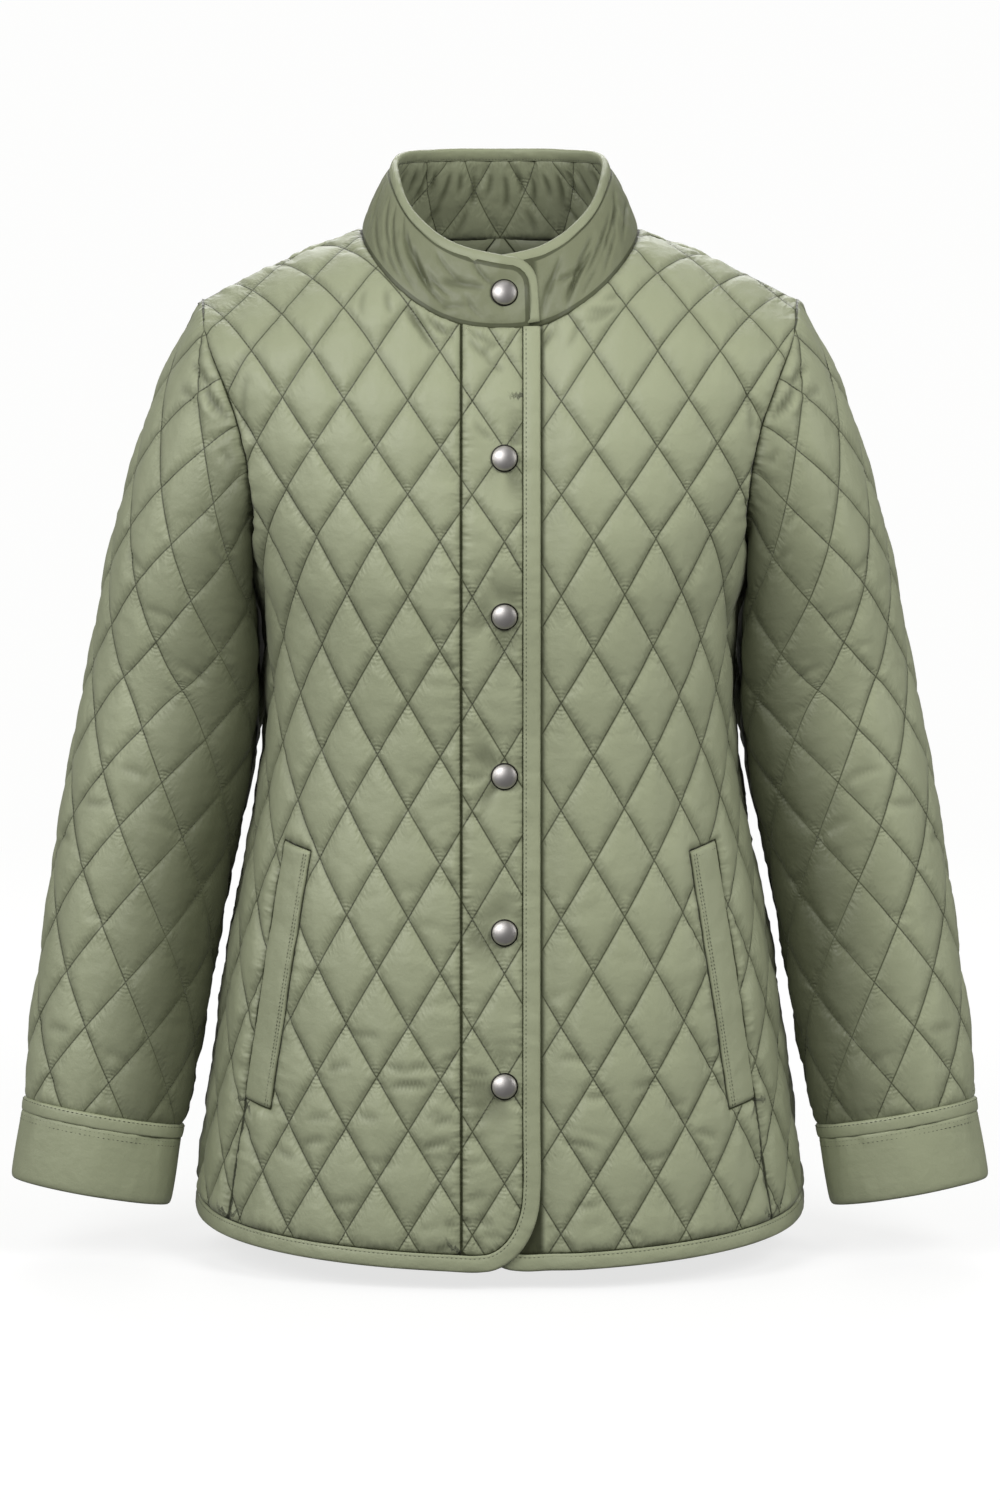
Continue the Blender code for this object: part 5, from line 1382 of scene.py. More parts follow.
def stitch_path(path, pitch=STITCH_PITCH, long=STITCH_LONG):
    """Starts and ends of stitches along a flat line."""
    run = lengths(path)
    at = np.arange(0.001, run[-1] - long, pitch)
    return spread(at, run, path), spread(at + long, run, path)


# ---------------------------------------------------------------- strips, cuffs, snaps

def sweep(node, columns, uv, material, closed, mirrored):
    """A strip from its lines of points, one for each point of its section, and their flat points."""
    rings, uv = np.stack(columns, axis=1), np.stack(uv, axis=1)
    count, sides = rings.shape[:2]
    faces = []
    for i in range(count if closed else count - 1):
        for j in range(sides):
            a, b = i * sides + j, i * sides + (j + 1) % sides
            c, d = (i + 1) % count * sides + (j + 1) % sides, (i + 1) % count * sides + j
            faces.append((a, b, c, d))
    if not closed:
        faces.append(tuple(range(sides))[::-1])
        faces.append(tuple((count - 1) * sides + j for j in range(sides)))
    maps = {"flat": uv.reshape(-1, 2)}
    piece = add_object("cloth_" + node, rings.reshape(-1, 3), faces, [material], None, maps, mirrored)
    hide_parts(node)
    return piece


FOLD_SECTION = (            # a binding's section: share of the width from the fold, share of the thickness
    (0.00, 0.50), (0.03, 0.74), (0.09, 0.93), (0.20, 1.04), (0.45, 1.08), (0.70, 1.02), (0.84, 0.90),
    (0.90, 0.84), (0.97, 0.86), (1.04, 0.70), (1.04, 0.0), (0.55, -0.02), (0.12, 0.0), (0.03, 0.20),
)
COLLAR_FOLD = (             # stands for the last four of them on the collar, whose other side shows too
    (1.00, -0.02), (0.97, -0.22), (0.80, -0.34), (0.45, -0.38), (0.15, -0.25), (0.03, 0.10),
)
BINDING_WAVES = ((0.00028, 0.006), (0.0003, 0.021))     # height and length of a binding's small waves
BINDING_STITCH = 0.87       # its stitches, as a share of its width and of its thickness


def fine_binding(node, form, path, width, mirrored=False, depth=None, side=1.0, salt=0.0, material="plain"):
    """A folded strip along a finished edge, a little uneven, with stitches along its inner edge."""
    path = curve_points(path, PATH_STEP)
    run = lengths(path)
    columns, uv = [], []
    (small, small_long), (slow, slow_long) = BINDING_WAVES
    for across, out in FOLD_SECTION[:-4] + (COLLAR_FOLD if side < 0 else FOLD_SECTION[-4:]):
        uneven = small * ripple(run / small_long, salt + across) + slow * ripple(run / slow_long, salt + 9)
        wave = uneven * math.sin(math.pi * min(across + 0.12, 1.0)) * (out > 0.3)
        line = moved_in(path, across * width)
        sink = depth(line) if depth else 0.0
        columns.append(laid(form, line, side * (out * BINDING_THICK + wave) - sink))
        uv.append(pairs(run, across * width) + salt)
    piece = sweep(node, columns, uv, material, False, mirrored)
    long = float(lengths(columns[0])[-1])
    width + BINDING_THICK
    starts, ends = stitch_path(moved_in(path, BINDING_STITCH * width))
    out = side * BINDING_STITCH * BINDING_THICK - (depth(starts) if depth else 0.0)
    dashes("stitching_" + node, form, starts, ends, out, mirrored)


def curve_points(path, step):
    """A smooth line through a path's points, with a point every step."""
    run = lengths(path)
    count = int(run[-1] / step) + 2
    return smooth(np.column_stack([run, path]), np.linspace(0, run[-1], count))


WELT_SECTION = (            # share of the width, share of the thickness
    (-0.5, 0.0), (-0.5, 0.45), (-0.485, 0.75), (-0.45, 0.95), (-0.38, 1.04), (-0.2, 1.10), (0.0, 1.12),
    (0.2, 1.08), (0.30, 1.00), (0.34, 0.90), (0.38, 1.00), (0.42, 1.0), (0.45, 0.90), (0.48, 0.8),
    (0.5, 0.5), (0.5, 0.0), (0.0, 0.0),
)
WELT_LINES = (              # stitched lines: share of the width and of the length where each starts and ends
    ((0.34, 0.0), (0.34, 1.0)), ((0.43, 0.0), (0.43, 1.0)), ((-0.46, 0.025), (0.34, 0.025)),
    ((-0.46, 0.975), (0.34, 0.975)),
)
WELT_STITCH = (0.0026, 0.0019)      # from stitch to stitch, and length of one
WELT_STITCH_OUT = 0.98      # height of the stitches, as a share of the thickness
WELT_WAVE = (0.0003, 0.011)         # height and length of its slow waves
WELT_CRINKLE = (0.0002, 0.005)      # and of its small ones
WELT_END = 0.002            # the ends are rounded over this distance
WELT_ROWS = 72


def fine_welt(node, mirrored, salt):
    """The plain welt, with two stitched lines along its front edge and across its ends."""
    low, up, inward, length = welt_frame()
    across, high = np.array(WELT_SECTION).T
    rings, uv = [], []
    for distance in np.linspace(0, length, WELT_ROWS):
        flat = low + up * distance + np.outer(across * WELT_WIDTH, inward)
        round_end = 0.75 + 0.25 * min(1.0, min(distance, length - distance) / WELT_END)
        wave = WELT_WAVE[0] * float(ripple(distance / WELT_WAVE[1], salt))
        wave = wave + WELT_CRINKLE[0] * ripple(distance / WELT_CRINKLE[1] + across * 3, salt + 1)
        rings.append(laid(front_point, flat, (high * WELT_THICK + wave * (high > 0.4)) * round_end))
        uv.append(flat + salt)
    piece = sweep(node, np.swapaxes(rings, 0, 1), np.swapaxes(uv, 0, 1), "plain", False, mirrored)
    WELT_WIDTH + WELT_THICK
    float(length)
    stitches = []
    for line in WELT_LINES:
        flat = np.array([low + up * y * length + inward * x * WELT_WIDTH for x, y in line])
        stitches.append(stitch_path(flat, *WELT_STITCH))
    starts, ends = (np.vstack(flat) for flat in zip(*stitches))
    out = WELT_STITCH_OUT * WELT_THICK
    dashes("stitching_" + node, front_point, starts, ends, out, mirrored)


TUBE_SIDES = 160
CUFF_SHAPE = (              # share of the width from the strip down, share of the thickness
    (-0.006, 0.0), (-0.006, 0.80), (0.012, 0.94), (0.04, 1.0), (0.08, 1.02), (0.14, 1.05), (0.22, 1.08),
    (0.32, 1.12), (0.42, 1.15), (0.52, 1.16), (0.62, 1.16), (0.72, 1.14), (0.80, 1.12), (0.87, 1.08),
    (0.92, 1.02), (0.96, 0.90), (0.985, 0.72), (1.0, 0.45), (0.99, 0.15), (0.96, 0.0), (0.5, 0.0),
)
STRIP_SHAPE = (
    (0.0, 0.0), (0.0, 0.42), (0.04, 0.66), (0.12, 0.80), (0.3, 0.88), (0.5, 0.90), (0.7, 0.89), (0.86, 0.86),
    (0.94, 0.82), (0.99, 0.74), (1.02, 0.60), (1.02, 0.0),
)
CUFF_STITCHES = (           # distance down the sleeve and height of the stitched lines
    (CUFF[0] + 0.0022, 0.96 * CUFF_THICK), (CUFF[0] + 0.0052, 1.02 * CUFF_THICK),
    (CUFF_STRIP[0] + 0.0016, 0.86 * STRIP_THICK),
)


def fine_tube(node, levels, section, thickness, mirrored, shape):
    """A band round a sleeve; section has the share of the width and of the thickness."""
    low, high = levels
    share = np.arange(TUBE_SIDES) / TUBE_SIDES
    columns, uv = [], []
    for place, out in section:
        level = low + (high - low) * place
        along = (share - 0.25) * girth_at(level)
        lift = out * thickness + (shape(share, place) if out > 0.3 else 0.0)
        columns.append(laid(sleeve_point, pairs(along, -level), lift))
        uv.append(pairs(along, level))
    piece = sweep(node, columns, uv, "plain", True, mirrored)
    float(girth_at(0.5 * (low + high)))
    high - low + thickness


def cuff_waves(salt):
    """Soft gathers below the strip that die out down the cuff, and a slow unevenness."""
    def shape(share, place):
        near = math.exp(-place / CUFF_GATHER_FADE)
        gather = CUFF_GATHER[0] * near * ripple(share * CUFF_GATHER[1], salt)
        fine = CUFF_GATHER_FINE[0] * near * ripple(share * CUFF_GATHER_FINE[1], salt + 1)
        return gather + fine + CUFF_WAVE[0] * ripple(share * CUFF_WAVE[1] + 0.5 * place, salt + 2)
    return shape


def strip_waves(salt):
    """A slight unevenness of the strip."""
    def shape(share, place):
        return STRIP_WAVE * ripple(share * 60, salt) + STRIP_WAVE * ripple(share * 25, salt + 1)
    return shape


def build_cuffs(side, mirrored, salt):
    """A sleeve's strip and cuff with their stitched lines."""
    fine_tube("cuff_strip_" + side, CUFF_STRIP, STRIP_SHAPE, STRIP_THICK, mirrored, strip_waves(salt))
    fine_tube("cuff_" + side, CUFF, CUFF_SHAPE, CUFF_THICK, mirrored, cuff_waves(salt))
    starts, ends, outs = [], [], []
    for level, out in CUFF_STITCHES:
        girth = float(girth_at(level))
        at = np.arange(0, girth - STITCH_PITCH, STITCH_PITCH)
        place = (at + 0.5 * STITCH_LONG) / girth
        wave = cuff_waves(salt) if level > CUFF[0] else strip_waves(salt)
        along = at - 0.25 * girth
        starts.append(pairs(along, -level))
        ends.append(pairs(along + STITCH_LONG, -level))
        outs.append(out + wave(place, 0.05))
    starts, ends, outs = np.vstack(starts), np.vstack(ends), np.concatenate(outs)
    dashes("stitching_cuff_" + side, sleeve_point, starts, ends, outs, mirrored)


SNAP_SHAPE = (              # share of the radius, height; the rim comes last
    (0.0, 0.00520), (0.12, 0.00516), (0.25, 0.00500), (0.38, 0.00472), (0.50, 0.00436), (0.61, 0.00392),
    (0.70, 0.00344), (0.77, 0.00292), (0.82, 0.00248), (0.86, 0.00205), (0.885, 0.00165), (0.90, 0.00125),
    (0.905, 0.00090), (0.925, 0.00075), (0.955, 0.00082), (0.985, 0.00075), (1.0, 0.00050), (1.0, 0.0002),
    (0.98, 0.0), (0.0, 0.0),
)
SNAP_RIM = 11               # the rim starts at this point of the shape
SNAP_TURN = 56


def fine_snap(number, place, way):
    """A domed cap with a rolled rim."""
    turn = np.arange(SNAP_TURN) / SNAP_TURN * 2 * math.pi
    points = [(0.0, 0.0, SNAP_SHAPE[0][1])]
    for share, height in SNAP_SHAPE[1:-1]:
        r = SNAP_RADIUS * share
        points += [(r * math.cos(t), r * math.sin(t), height) for t in turn]
    points.append((0.0, 0.0, 0.0))
    faces, slots = [], []
    rows = len(SNAP_SHAPE) - 2
    for j in range(SNAP_TURN):
        k = (j + 1) % SNAP_TURN
        faces.append((0, 1 + j, 1 + k))
        slots.append(0)
        for i in range(rows - 1):
            a, b = 1 + i * SNAP_TURN, 1 + (i + 1) * SNAP_TURN
            faces.append((a + j, b + j, b + k, a + k))
            slots.append(0 if i + 1 < SNAP_RIM else 1)
        last = 1 + (rows - 1) * SNAP_TURN
        faces.append((last + j, len(points) - 1, last + k))
        slots.append(1)
    turned = Vector((0, 0, 1)).rotation_difference(Vector(way)).to_matrix()
    points = np.array(points) @ np.array(turned).T + place
    piece = add_object("cap_%d" % number, points, faces, ["snap", "snap_rim"], slots)
    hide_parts("snap_%d" % number)


def build_snaps():
    """The snap on the collar and those down the placket."""
    places = [(collar_point, -COLLAR_HALF + SNAP_ALONG, SNAP_COLLAR_UP, SNAP_SEAT, 1.0)]
    places += [(front_point, SNAP_ALONG, height, CLOTH + SNAP_SEAT, -1.0) for height in SNAP_HEIGHTS]
    for number, (form, along, up, lift, flip) in enumerate(places, 1):
        mirror = np.array([flip, 1.0, 1.0])
        foot = laid(form, (along, up), lift)[0]
        way = laid(form, (along, up), lift + 1.0)[0] - foot
        fine_snap(number, foot * mirror, way * mirror)


# ---------------------------------------------------------------- the cloth pieces

def snap_folds(points, salt):
    """Short folds that run out from each snap of the placket."""
    total = np.zeros(len(points))
    for number, height in enumerate(SNAP_HEIGHTS):
        off = points - np.array([SNAP_ALONG, height])
        distance = np.linalg.norm(off, axis=1)
        angle = np.arctan2(off[:, 1], off[:, 0]) / (2 * math.pi) + 0.5
        near = swell(np.maximum(distance - SNAP_FOLD_START * SNAP_RADIUS, 0), SNAP_FOLD_REACH)
        total += SNAP_FOLD * near * (ripple(np.mod(angle, 1.0) * SNAP_FOLDS, salt + number) - 0.4)
    return total


def snap_shade(points):
    """Painted shade: the folds beside the snaps are darker."""
    return FOLD_SHADE * np.clip(-snap_folds(points, 5.0) / SNAP_FOLD, 0, 0.8)


def lap_shade(points):
    """Painted shadow: the left front is darker along the edge that lies over it."""
    return FRONT_COVERED_SHADOW * (1 - fade((points[:, 0] - FRONT_COVERED) / FRONT_COVERED_FADE))


def front_creases(points):
    """Creases are strong beside the front edge and low down, weak on the chest."""
    near_edge = 1 - fade((points[:, 0] - PLACKET_SEAM) / CREASED_EDGE)
    low = fade((CREASED_LOW[0] - points[:, 1]) / CREASED_LOW[1])
    return 0.25 + 0.75 * low * (0.35 + 0.65 * near_edge) + 0.35 * near_edge


def near_shoulder(points):
    """1 at a shoulder point on a front or on the back, 0 away from it."""
    spot_along, spot_up = SHOULDER_SPOT
    away = np.hypot((np.abs(points[:, 0]) - spot_along) / SHOULDER_LONG, points[:, 1] - spot_up)
    return np.exp(-((away / SHOULDER_REACH) ** 2))


def shoulder_puff(points):
    """Padding is flatter along the shoulder seam and most of all at the shoulder point."""
    share, start, reach = SHOULDER_FLAT
    near_seam = fade((points[:, 1] - start) / reach)
    return (1 - SHOULDER_PRESS * near_shoulder(points)) * (1 - share * near_seam)


def shoulder_sink(points):
    """How much lower the cloth lies towards the shoulder points."""
    return SHOULDER_SINK * near_shoulder(points)


def left_sink(points):
    """The same with the lap of the left front."""
    return lap_sink(points) + shoulder_sink(points)


def build_body():
    """Fronts, placket and back, then their bindings and the welts."""
    right, left = body_quilt(RIGHT_CROSSING), body_quilt(LEFT_CROSSING)
    left_first = -FRONT_LAP + EDGE_BINDING + SEAM_GAP
    front_right = {
        "creases": front_creases, "folds": RIGHT_FOLDS, "puff": shoulder_puff, "depth": shoulder_sink,
    }
    placket = {
        "puff": placket_puff, "creases": front_creases, "more": lambda p: snap_folds(p, 5.0),
        "folds": PLACKET_FOLDS, "shade": snap_shade, "lap": PLACKET_LAP,
    }
    front_left = {
        "creases": front_creases, "puff": lambda p: lap_puff(p) * shoulder_puff(p), "depth": left_sink,
        "folds": LEFT_FOLDS, "shade": lap_shade,
    }
    back = {
        "puff": shoulder_puff, "folds": BACK_FOLDS, "creases": lambda p: np.full(len(p), BACK_CREASES),
        "depth": shoulder_sink,
    }
    outline = front_outline(PLACKET_SEAM, True)
    quilted_piece("front_right", front_point, outline, right, front_right, True, salt=11.0)
    quilted_piece("placket_right", front_point, placket_outline(), right, placket, True, salt=12.0)
    quilted_piece("front_left", front_point, front_outline(left_first, False), left, front_left, salt=13.0)
    quilted_piece("back", back_point, back_outline(), body_quilt(0.0), back, salt=14.0)
    fine_binding("binding_front_right", front_point, front_edge(), EDGE_BINDING, True, salt=21.0)
    fine_binding("binding_front_left", front_point, front_edge(), EDGE_BINDING, depth=lap_sink, salt=22.0)
    fine_binding("binding_hem", back_point, back_hem(), EDGE_BINDING, salt=23.0)
    fine_welt("welt_right", True, 31.0)
    fine_welt("welt_left", False, 32.0)


def near_sleeve_top(points):
    """1 at the shoulder point on a sleeve, 0 away from it."""
    away = np.hypot(points[:, 0] + 0.25 * girth_at(CAP_LEVEL), points[:, 1] - SLEEVE_SPOT_UP)
    return np.exp(-((away / SLEEVE_SPOT_REACH) ** 2))


def sleeve_puff(points):
    """Padding of a sleeve, less beside the shoulder point."""
    return SLEEVE_PUFF - SLEEVE_SPOT_PRESS * near_sleeve_top(points)


def sleeve_sink(points):
    """How much lower the sleeve lies towards the shoulder point."""
    return SHOULDER_SINK * near_sleeve_top(points)


def sleeve_shade(points):
    """Painted shade: a sleeve is darker on the side turned to the body, less so at the cuff."""
    girth = girth_at(np.maximum(-points[:, 1], CAP_LEVEL))
    turned = np.cos(2 * math.pi * (0.25 - points[:, 0] / girth))
    share, start, reach = SLEEVE_LIGHTER
    lighter = 1 - share * fade((-points[:, 1] - start) / reach)
    return SLEEVE_PAINTED_SHADE * np.clip((turned + 0.5) / 1.1, 0, 1) * lighter


def build_sleeves():
    """Both sleeves with their cuffs."""
    quilt = Quilt(0.0, *even_rows(SLEEVE_CROSSING, SLEEVE_ROW))
    style = {
        "plain_step": SLEEVE_PLAIN_STEP, "puff": sleeve_puff, "folds": SLEEVE_FOLDS, "lap": SLEEVE_LAP,
        "depth": sleeve_sink, "shade": sleeve_shade, "creases": lambda p: np.full(len(p), SLEEVE_CREASES),
    }
    for side, mirrored, salt in (("right", True, 41.0), ("left", False, 42.0)):
        quilted_piece("sleeve_" + side, sleeve_point, sleeve_outline(), quilt, style, mirrored, salt=salt)
        build_cuffs(side, mirrored, salt)


def collar_wrinkles(points):
    """Slanted wrinkles on the collar's plain outer face, as listed, with a fine unevenness."""
    high = np.clip(np.sin(math.pi * np.clip(points[:, 1] / WRINKLE_HEIGHT, 0, 1)), 0, 1)
    fine = ripple((points[:, 0] - np.sign(points[:, 0]) * 0.5 * points[:, 1]) / WRINKLE_FINE[1], 52.0)
    height = (WRINKLE_SHARE * folds(points, COLLAR_FOLDS, FOLD_LEAST) + WRINKLE_BASE) * high**0.5
    height = height + WRINKLE_FINE[0] * fine * high
    off = points - np.array([-COLLAR_HALF + SNAP_ALONG, SNAP_COLLAR_UP])
    pressed, wide = SNAP_HOLLOW
    near_snap = np.exp(-((np.linalg.norm(off, axis=1) / (wide * SNAP_RADIUS)) ** 4))
    return height * (1 - pressed * near_snap)


def collar_shade(points):
    """The collar is painted darker towards its ends (shade), and darkest where the other end lies over it
    (shadow).
    """
    share, start, reach = COLLAR_END_SHADE
    end = share * fade((np.abs(points[:, 0]) - start) / reach)
    covered = fade((points[:, 0] - COLLAR_COVERED) / COLLAR_COVERED_FADE)
    return np.maximum(end, COLLAR_COVERED_SHADOW * covered)


def build_collar():
    """The collar with its binding, and stitched lines beside the binding and along the neck seam."""
    quilt = Quilt(0.0, *even_rows(0.0, SLEEVE_ROW))
    style = {
        "depth": collar_sink, "puff": lambda p: COLLAR_PUFF * collar_puff(p), "plain": collar_wrinkles,
        "plain_step": COLLAR_PLAIN_STEP, "plain_folds": COLLAR_FOLDS, "plain_cloth": "collar",
        "lap": COLLAR_LAP, "folds": INNER_COLLAR_FOLDS, "shade": collar_shade,
        "quilted_shade": COLLAR_INSIDE_SHADE,
    }
    quilted_piece("collar", collar_point, collar_outline(), quilt, style, side=-1.0, salt=15.0)
    fine_binding("binding_collar", collar_point, collar_edge(), COLLAR_BINDING, depth=collar_sink, side=-1.0,
                 salt=24.0, material="collar_edge")
    beside = moved_in(curve_points(collar_edge(), PATH_STEP), COLLAR_BINDING + COLLAR_STITCH[0])
    end = COLLAR_HALF - NECK_STITCH_END
    seam = pairs(np.linspace(-end, end, NECK_STITCH_POINTS), NECK_STITCH[0])
    for name, line, out in (("collar", beside, COLLAR_STITCH[1]), ("neck", seam, NECK_STITCH[1])):
        starts, ends = stitch_path(line)
        dashes("stitching_" + name, collar_point, starts, ends, out - collar_sink(starts))


# ---------------------------------------------------------------- materials

class Term:
    """A number or a vector that a material works out, with the signs of arithmetic."""

    def __init__(self, look, socket):
        self.look = look
        self.socket = socket

    def __add__(self, other):
        return self.look.math("ADD", self, other)

    def __sub__(self, other):
        return self.look.math("SUBTRACT", self, other)

    def __mul__(self, other):
        return self.look.math("MULTIPLY", self, other)

    def __truediv__(self, other):
        return self.look.math("DIVIDE", self, other)

    def __abs__(self):
        return self.look.math("ABSOLUTE", self)

    def __round__(self):
        return self.look.math("ROUND", self)

    def sine(self):
        return self.look.math("SINE", self)

    def root(self):
        return self.look.math("SQRT", self)

    def exponent(self):
        return self.look.math("EXPONENT", self)

    def at_least(self, other):
        return self.look.math("MAXIMUM", self, other)

    def bell(self, width):
        """1 at 0, dying out over a width."""
        share = self / width
        return (share * share * -1.0).exponent()


class Look:
    """A material under construction, with short ways to add and join its nodes."""

    def __init__(self, name):
        self.material = bpy.data.materials.new(name)
        self.material.use_nodes = True
        self.tree = self.material.node_tree
        self.shader = self.tree.nodes["Principled BSDF"]

    def set(self, **values):
        """Constant values of the shader."""
        for name, value in values.items():
            self.shader.inputs[name.replace("_", " ")].default_value = value

    def join(self, value, socket):
        if isinstance(value, Term):
            self.tree.links.new(value.socket, socket)
        else:
            socket.default_value = value

    def feed(self, name, value):
        """A value that the shader takes from other nodes."""
        self.join(value, self.shader.inputs[name])

    def add(self, kind, inputs=(), output=0, **settings):
        """A node's output; its inputs are given by name or by number."""
        node = self.tree.nodes.new(kind)
        for name, value in settings.items():
            setattr(node, name, value)
        for name, value in dict(inputs).items():
            self.join(value, node.inputs[name])
        return Term(self, node.outputs[output])

    def math(self, operation, *values):
        return self.add("ShaderNodeMath", enumerate(values), operation=operation)

    def uv(self, name):
        return self.add("ShaderNodeUVMap", uv_map=name)

    def object_place(self):
        return self.add("ShaderNodeTexCoord", output="Object")

    def scaled(self, vector, *scale):
        return self.add("ShaderNodeMapping", {"Vector": vector, "Scale": scale})

    def split(self, vector):
        """The first two numbers of a vector."""
        return [self.add("ShaderNodeSeparateXYZ", {"Vector": vector}, output) for output in (0, 1)]

    def vector(self, *parts):
        return self.add("ShaderNodeCombineXYZ", enumerate(parts))

    def dice(self, x, y, z):
        """A number from 0 to 1, the same all over one cell."""
        return self.add("ShaderNodeTexWhiteNoise", {"Vector": self.vector(x, y, z)})

    def noise(self, vector, scale, detail=2.0, roughness=0.5):
        inputs = {"Vector": vector, "Scale": scale, "Detail": detail, "Roughness": roughness}
        return self.add("ShaderNodeTexNoise", inputs)

    def ramp(self, value, low, high, out_low=0.0, out_high=1.0):
        """From one number to another while a value goes from low to high."""
        return self.add("ShaderNodeMapRange", enumerate((value, low, high, out_low, out_high)), clamp=True)

    def mix(self, share, first, second):
        return self.add("ShaderNodeMix", {0: share, 6: first, 7: second}, 2, data_type="RGBA")

    def bump(self, height, distance=1.0):
        """Feeds a height to the shader's normal."""
        self.feed("Normal", self.add("ShaderNodeBump", {"Height": height, "Distance": distance}))


WEAVE = 0.00045             # from thread to thread
WEAVE_HIGH = 0.000012
CRINKLE = (95.0, 3.0, 0.55)         # scale, detail and roughness of the fine crinkles
CRINKLE_HIGH = 0.00075
DRAPE = (62.0, 21.0, 1.0)   # scales of the soft drapes, which run up and down
DRAPE_HIGH = 0.0016
BESIDE_LINE = 0.0038        # reach of the painted shade beside a stitch line
BESIDE_SEAM = 0.0036        # and beside a seam
SEAM_GATHER_BUMP = (0.0065, 0.0021)         # reach and height of the finest gathers beside seams
GATHER_TURNS = 210.0        # noise scales of those, along the seam and away from it
GATHER_BEND = 60.0
LINE_GROOVE = (0.0002, 0.0009, 0.84, 0.0)   # dark lines at stitch lines, seams and the collar's binding, partly thread and partly painted shadow: from, to, how dark at each
SEAM_GROOVE = (0.0008, 0.0015, 0.94, 0.0)
COLLAR_GROOVE = (0.0030, 0.0038, 0.75, 0.0)
INSIDE_HIGH = 0.0022        # height of the padding that shows inside
INSIDE_CRINKLE = 0.0008
PUCKER_BUMP = 0.00088       # heights of the finest puckers and of the small arcs
ARC_BUMP = 0.00024


def off_line(value):
    """Distance of a number from the nearest whole one, below 0 under it."""
    return value - round(value)


def weave(look, flat):
    """Fine plain weave: two crossed sets of threads."""
    x, y = ((part * (2 * math.pi / WEAVE)).sine() for part in look.split(flat))
    return x * y


def painted_line_shade(look, place):
    """Painted shade beside stitch lines: darker cloth there, more so above a line than below it."""
    parts = []
    for value in look.split(place):
        off = off_line(value)
        parts.append((off * ROW_GAP).bell(BESIDE_LINE) * look.ramp(off, -0.02, 0.02, 0.06, 0.31))
    return parts[0].at_least(parts[1])


def pucker_map(look, place):
    """Fine gathers square to the stitch lines, dying out away from them."""
    first, second = look.split(place)
    parts = []
    for across, along, seed in ((first, second, 3.7), (second, first, 11.3)):
        off = off_line(across)
        wave = look.noise(look.vector(along * 14.0, round(across) * seed + off * 6.0), 1.0, 1.0) - 0.5
        distance = abs(off)
        parts.append(wave * (distance * (distance * -18.0).exponent() * 49.0))
    return parts[0] + parts[1]


def arc_map(look, place):
    """Small arched folds above and below each crossing, different at each one."""
    first, second = look.split(place)
    off_a, off_b = off_line(first), off_line(second)
    x = (off_a - off_b) * (0.5 * QUILT_WIDTH)
    z = (off_a + off_b) * (0.95 * ROW_GAP)
    away = (x * x + z * z).root()
    key = look.dice(round(first), round(second), look.math("SIGN", z))
    wave = (away * (2 * math.pi / ARC_STEP) + key * 6.0).sine()
    between = look.ramp(off_a * off_b, -0.0015, 0.004)
    return wave * (between * away.bell(ARC_REACH) * look.ramp(key, 0.0, 0.8, 0.25, 1.0))


def satin(name, colour, dark, roughness, quilted=False, collar=False):
    """Thin dense nylon: fine weave, small crinkles, a soft sheen and slightly uneven colour.

    On quilted cloth the stitch lines and seams are darker, partly from thread and partly painted shadow, with
    painted shade and small gathers beside them. On the collar's plain face the cloth is darker beside its
    binding, painted shadow. Both also take the painted shade that the pieces work out.
    """
    look = Look(name)
    flat = look.uv("flat")
    height = (look.noise(flat, *CRINKLE) - 0.5) * CRINKLE_HIGH
    height = height + look.noise(look.scaled(flat, *DRAPE), 1.0, 1.0) * DRAPE_HIGH
    shade = look.mix(look.ramp(look.noise(flat, 9.0, 3.0), 0.3, 0.7), dark, colour)
    if quilted:
        place = look.uv("quilt")
        edge, run = look.split(look.uv("seam"))
        reach, gather_high = SEAM_GATHER_BUMP
        gather = look.noise(look.vector(run * GATHER_TURNS, edge * GATHER_BEND), 1.0, 1.0) - 0.5
        gather = gather * edge.bell(reach)
        height = height + pucker_map(look, place) * PUCKER_BUMP
        height = height + arc_map(look, place) * ARC_BUMP
        height = height + gather * gather_high
        closest = look.math("MINIMUM", *(abs(off_line(part)) * ROW_GAP for part in look.split(place)))
        # Painted shadow and shade: dark stitch lines and seams, partly thread, darker cloth beside them, more
        # above a line, and the pieces' painted shade from their UV map
        groove = look.ramp(closest, *LINE_GROOVE).at_least(look.ramp(edge, *SEAM_GROOVE))
        hollow = painted_line_shade(look, place).at_least(edge.bell(BESIDE_SEAM) * 0.16)
        darker = groove.at_least(hollow.at_least(look.split(look.uv("painted_shade"))[0]))
        shade = look.mix(darker, shade, THREAD_COLOUR)
    if collar:
        # Painted shadow beside the collar's binding, partly its seam line, and the collar's painted shade
        # from its UV map
        edge = look.split(look.uv("seam"))[0]
        darker = look.ramp(edge, *COLLAR_GROOVE).at_least(look.split(look.uv("painted_shade"))[0])
        shade = look.mix(darker, shade, THREAD_COLOUR)
    look.bump(height + weave(look, flat) * WEAVE_HIGH)
    look.feed("Base Color", shade)
    shine = look.ramp(look.noise(flat, 40.0, 2.0), 0.3, 0.7, roughness - 0.03, roughness + 0.04)
    look.feed("Roughness", shine)
    look.set(Sheen_Weight=0.06, Sheen_Roughness=0.4, Specular_IOR_Level=0.42)
    return look.material


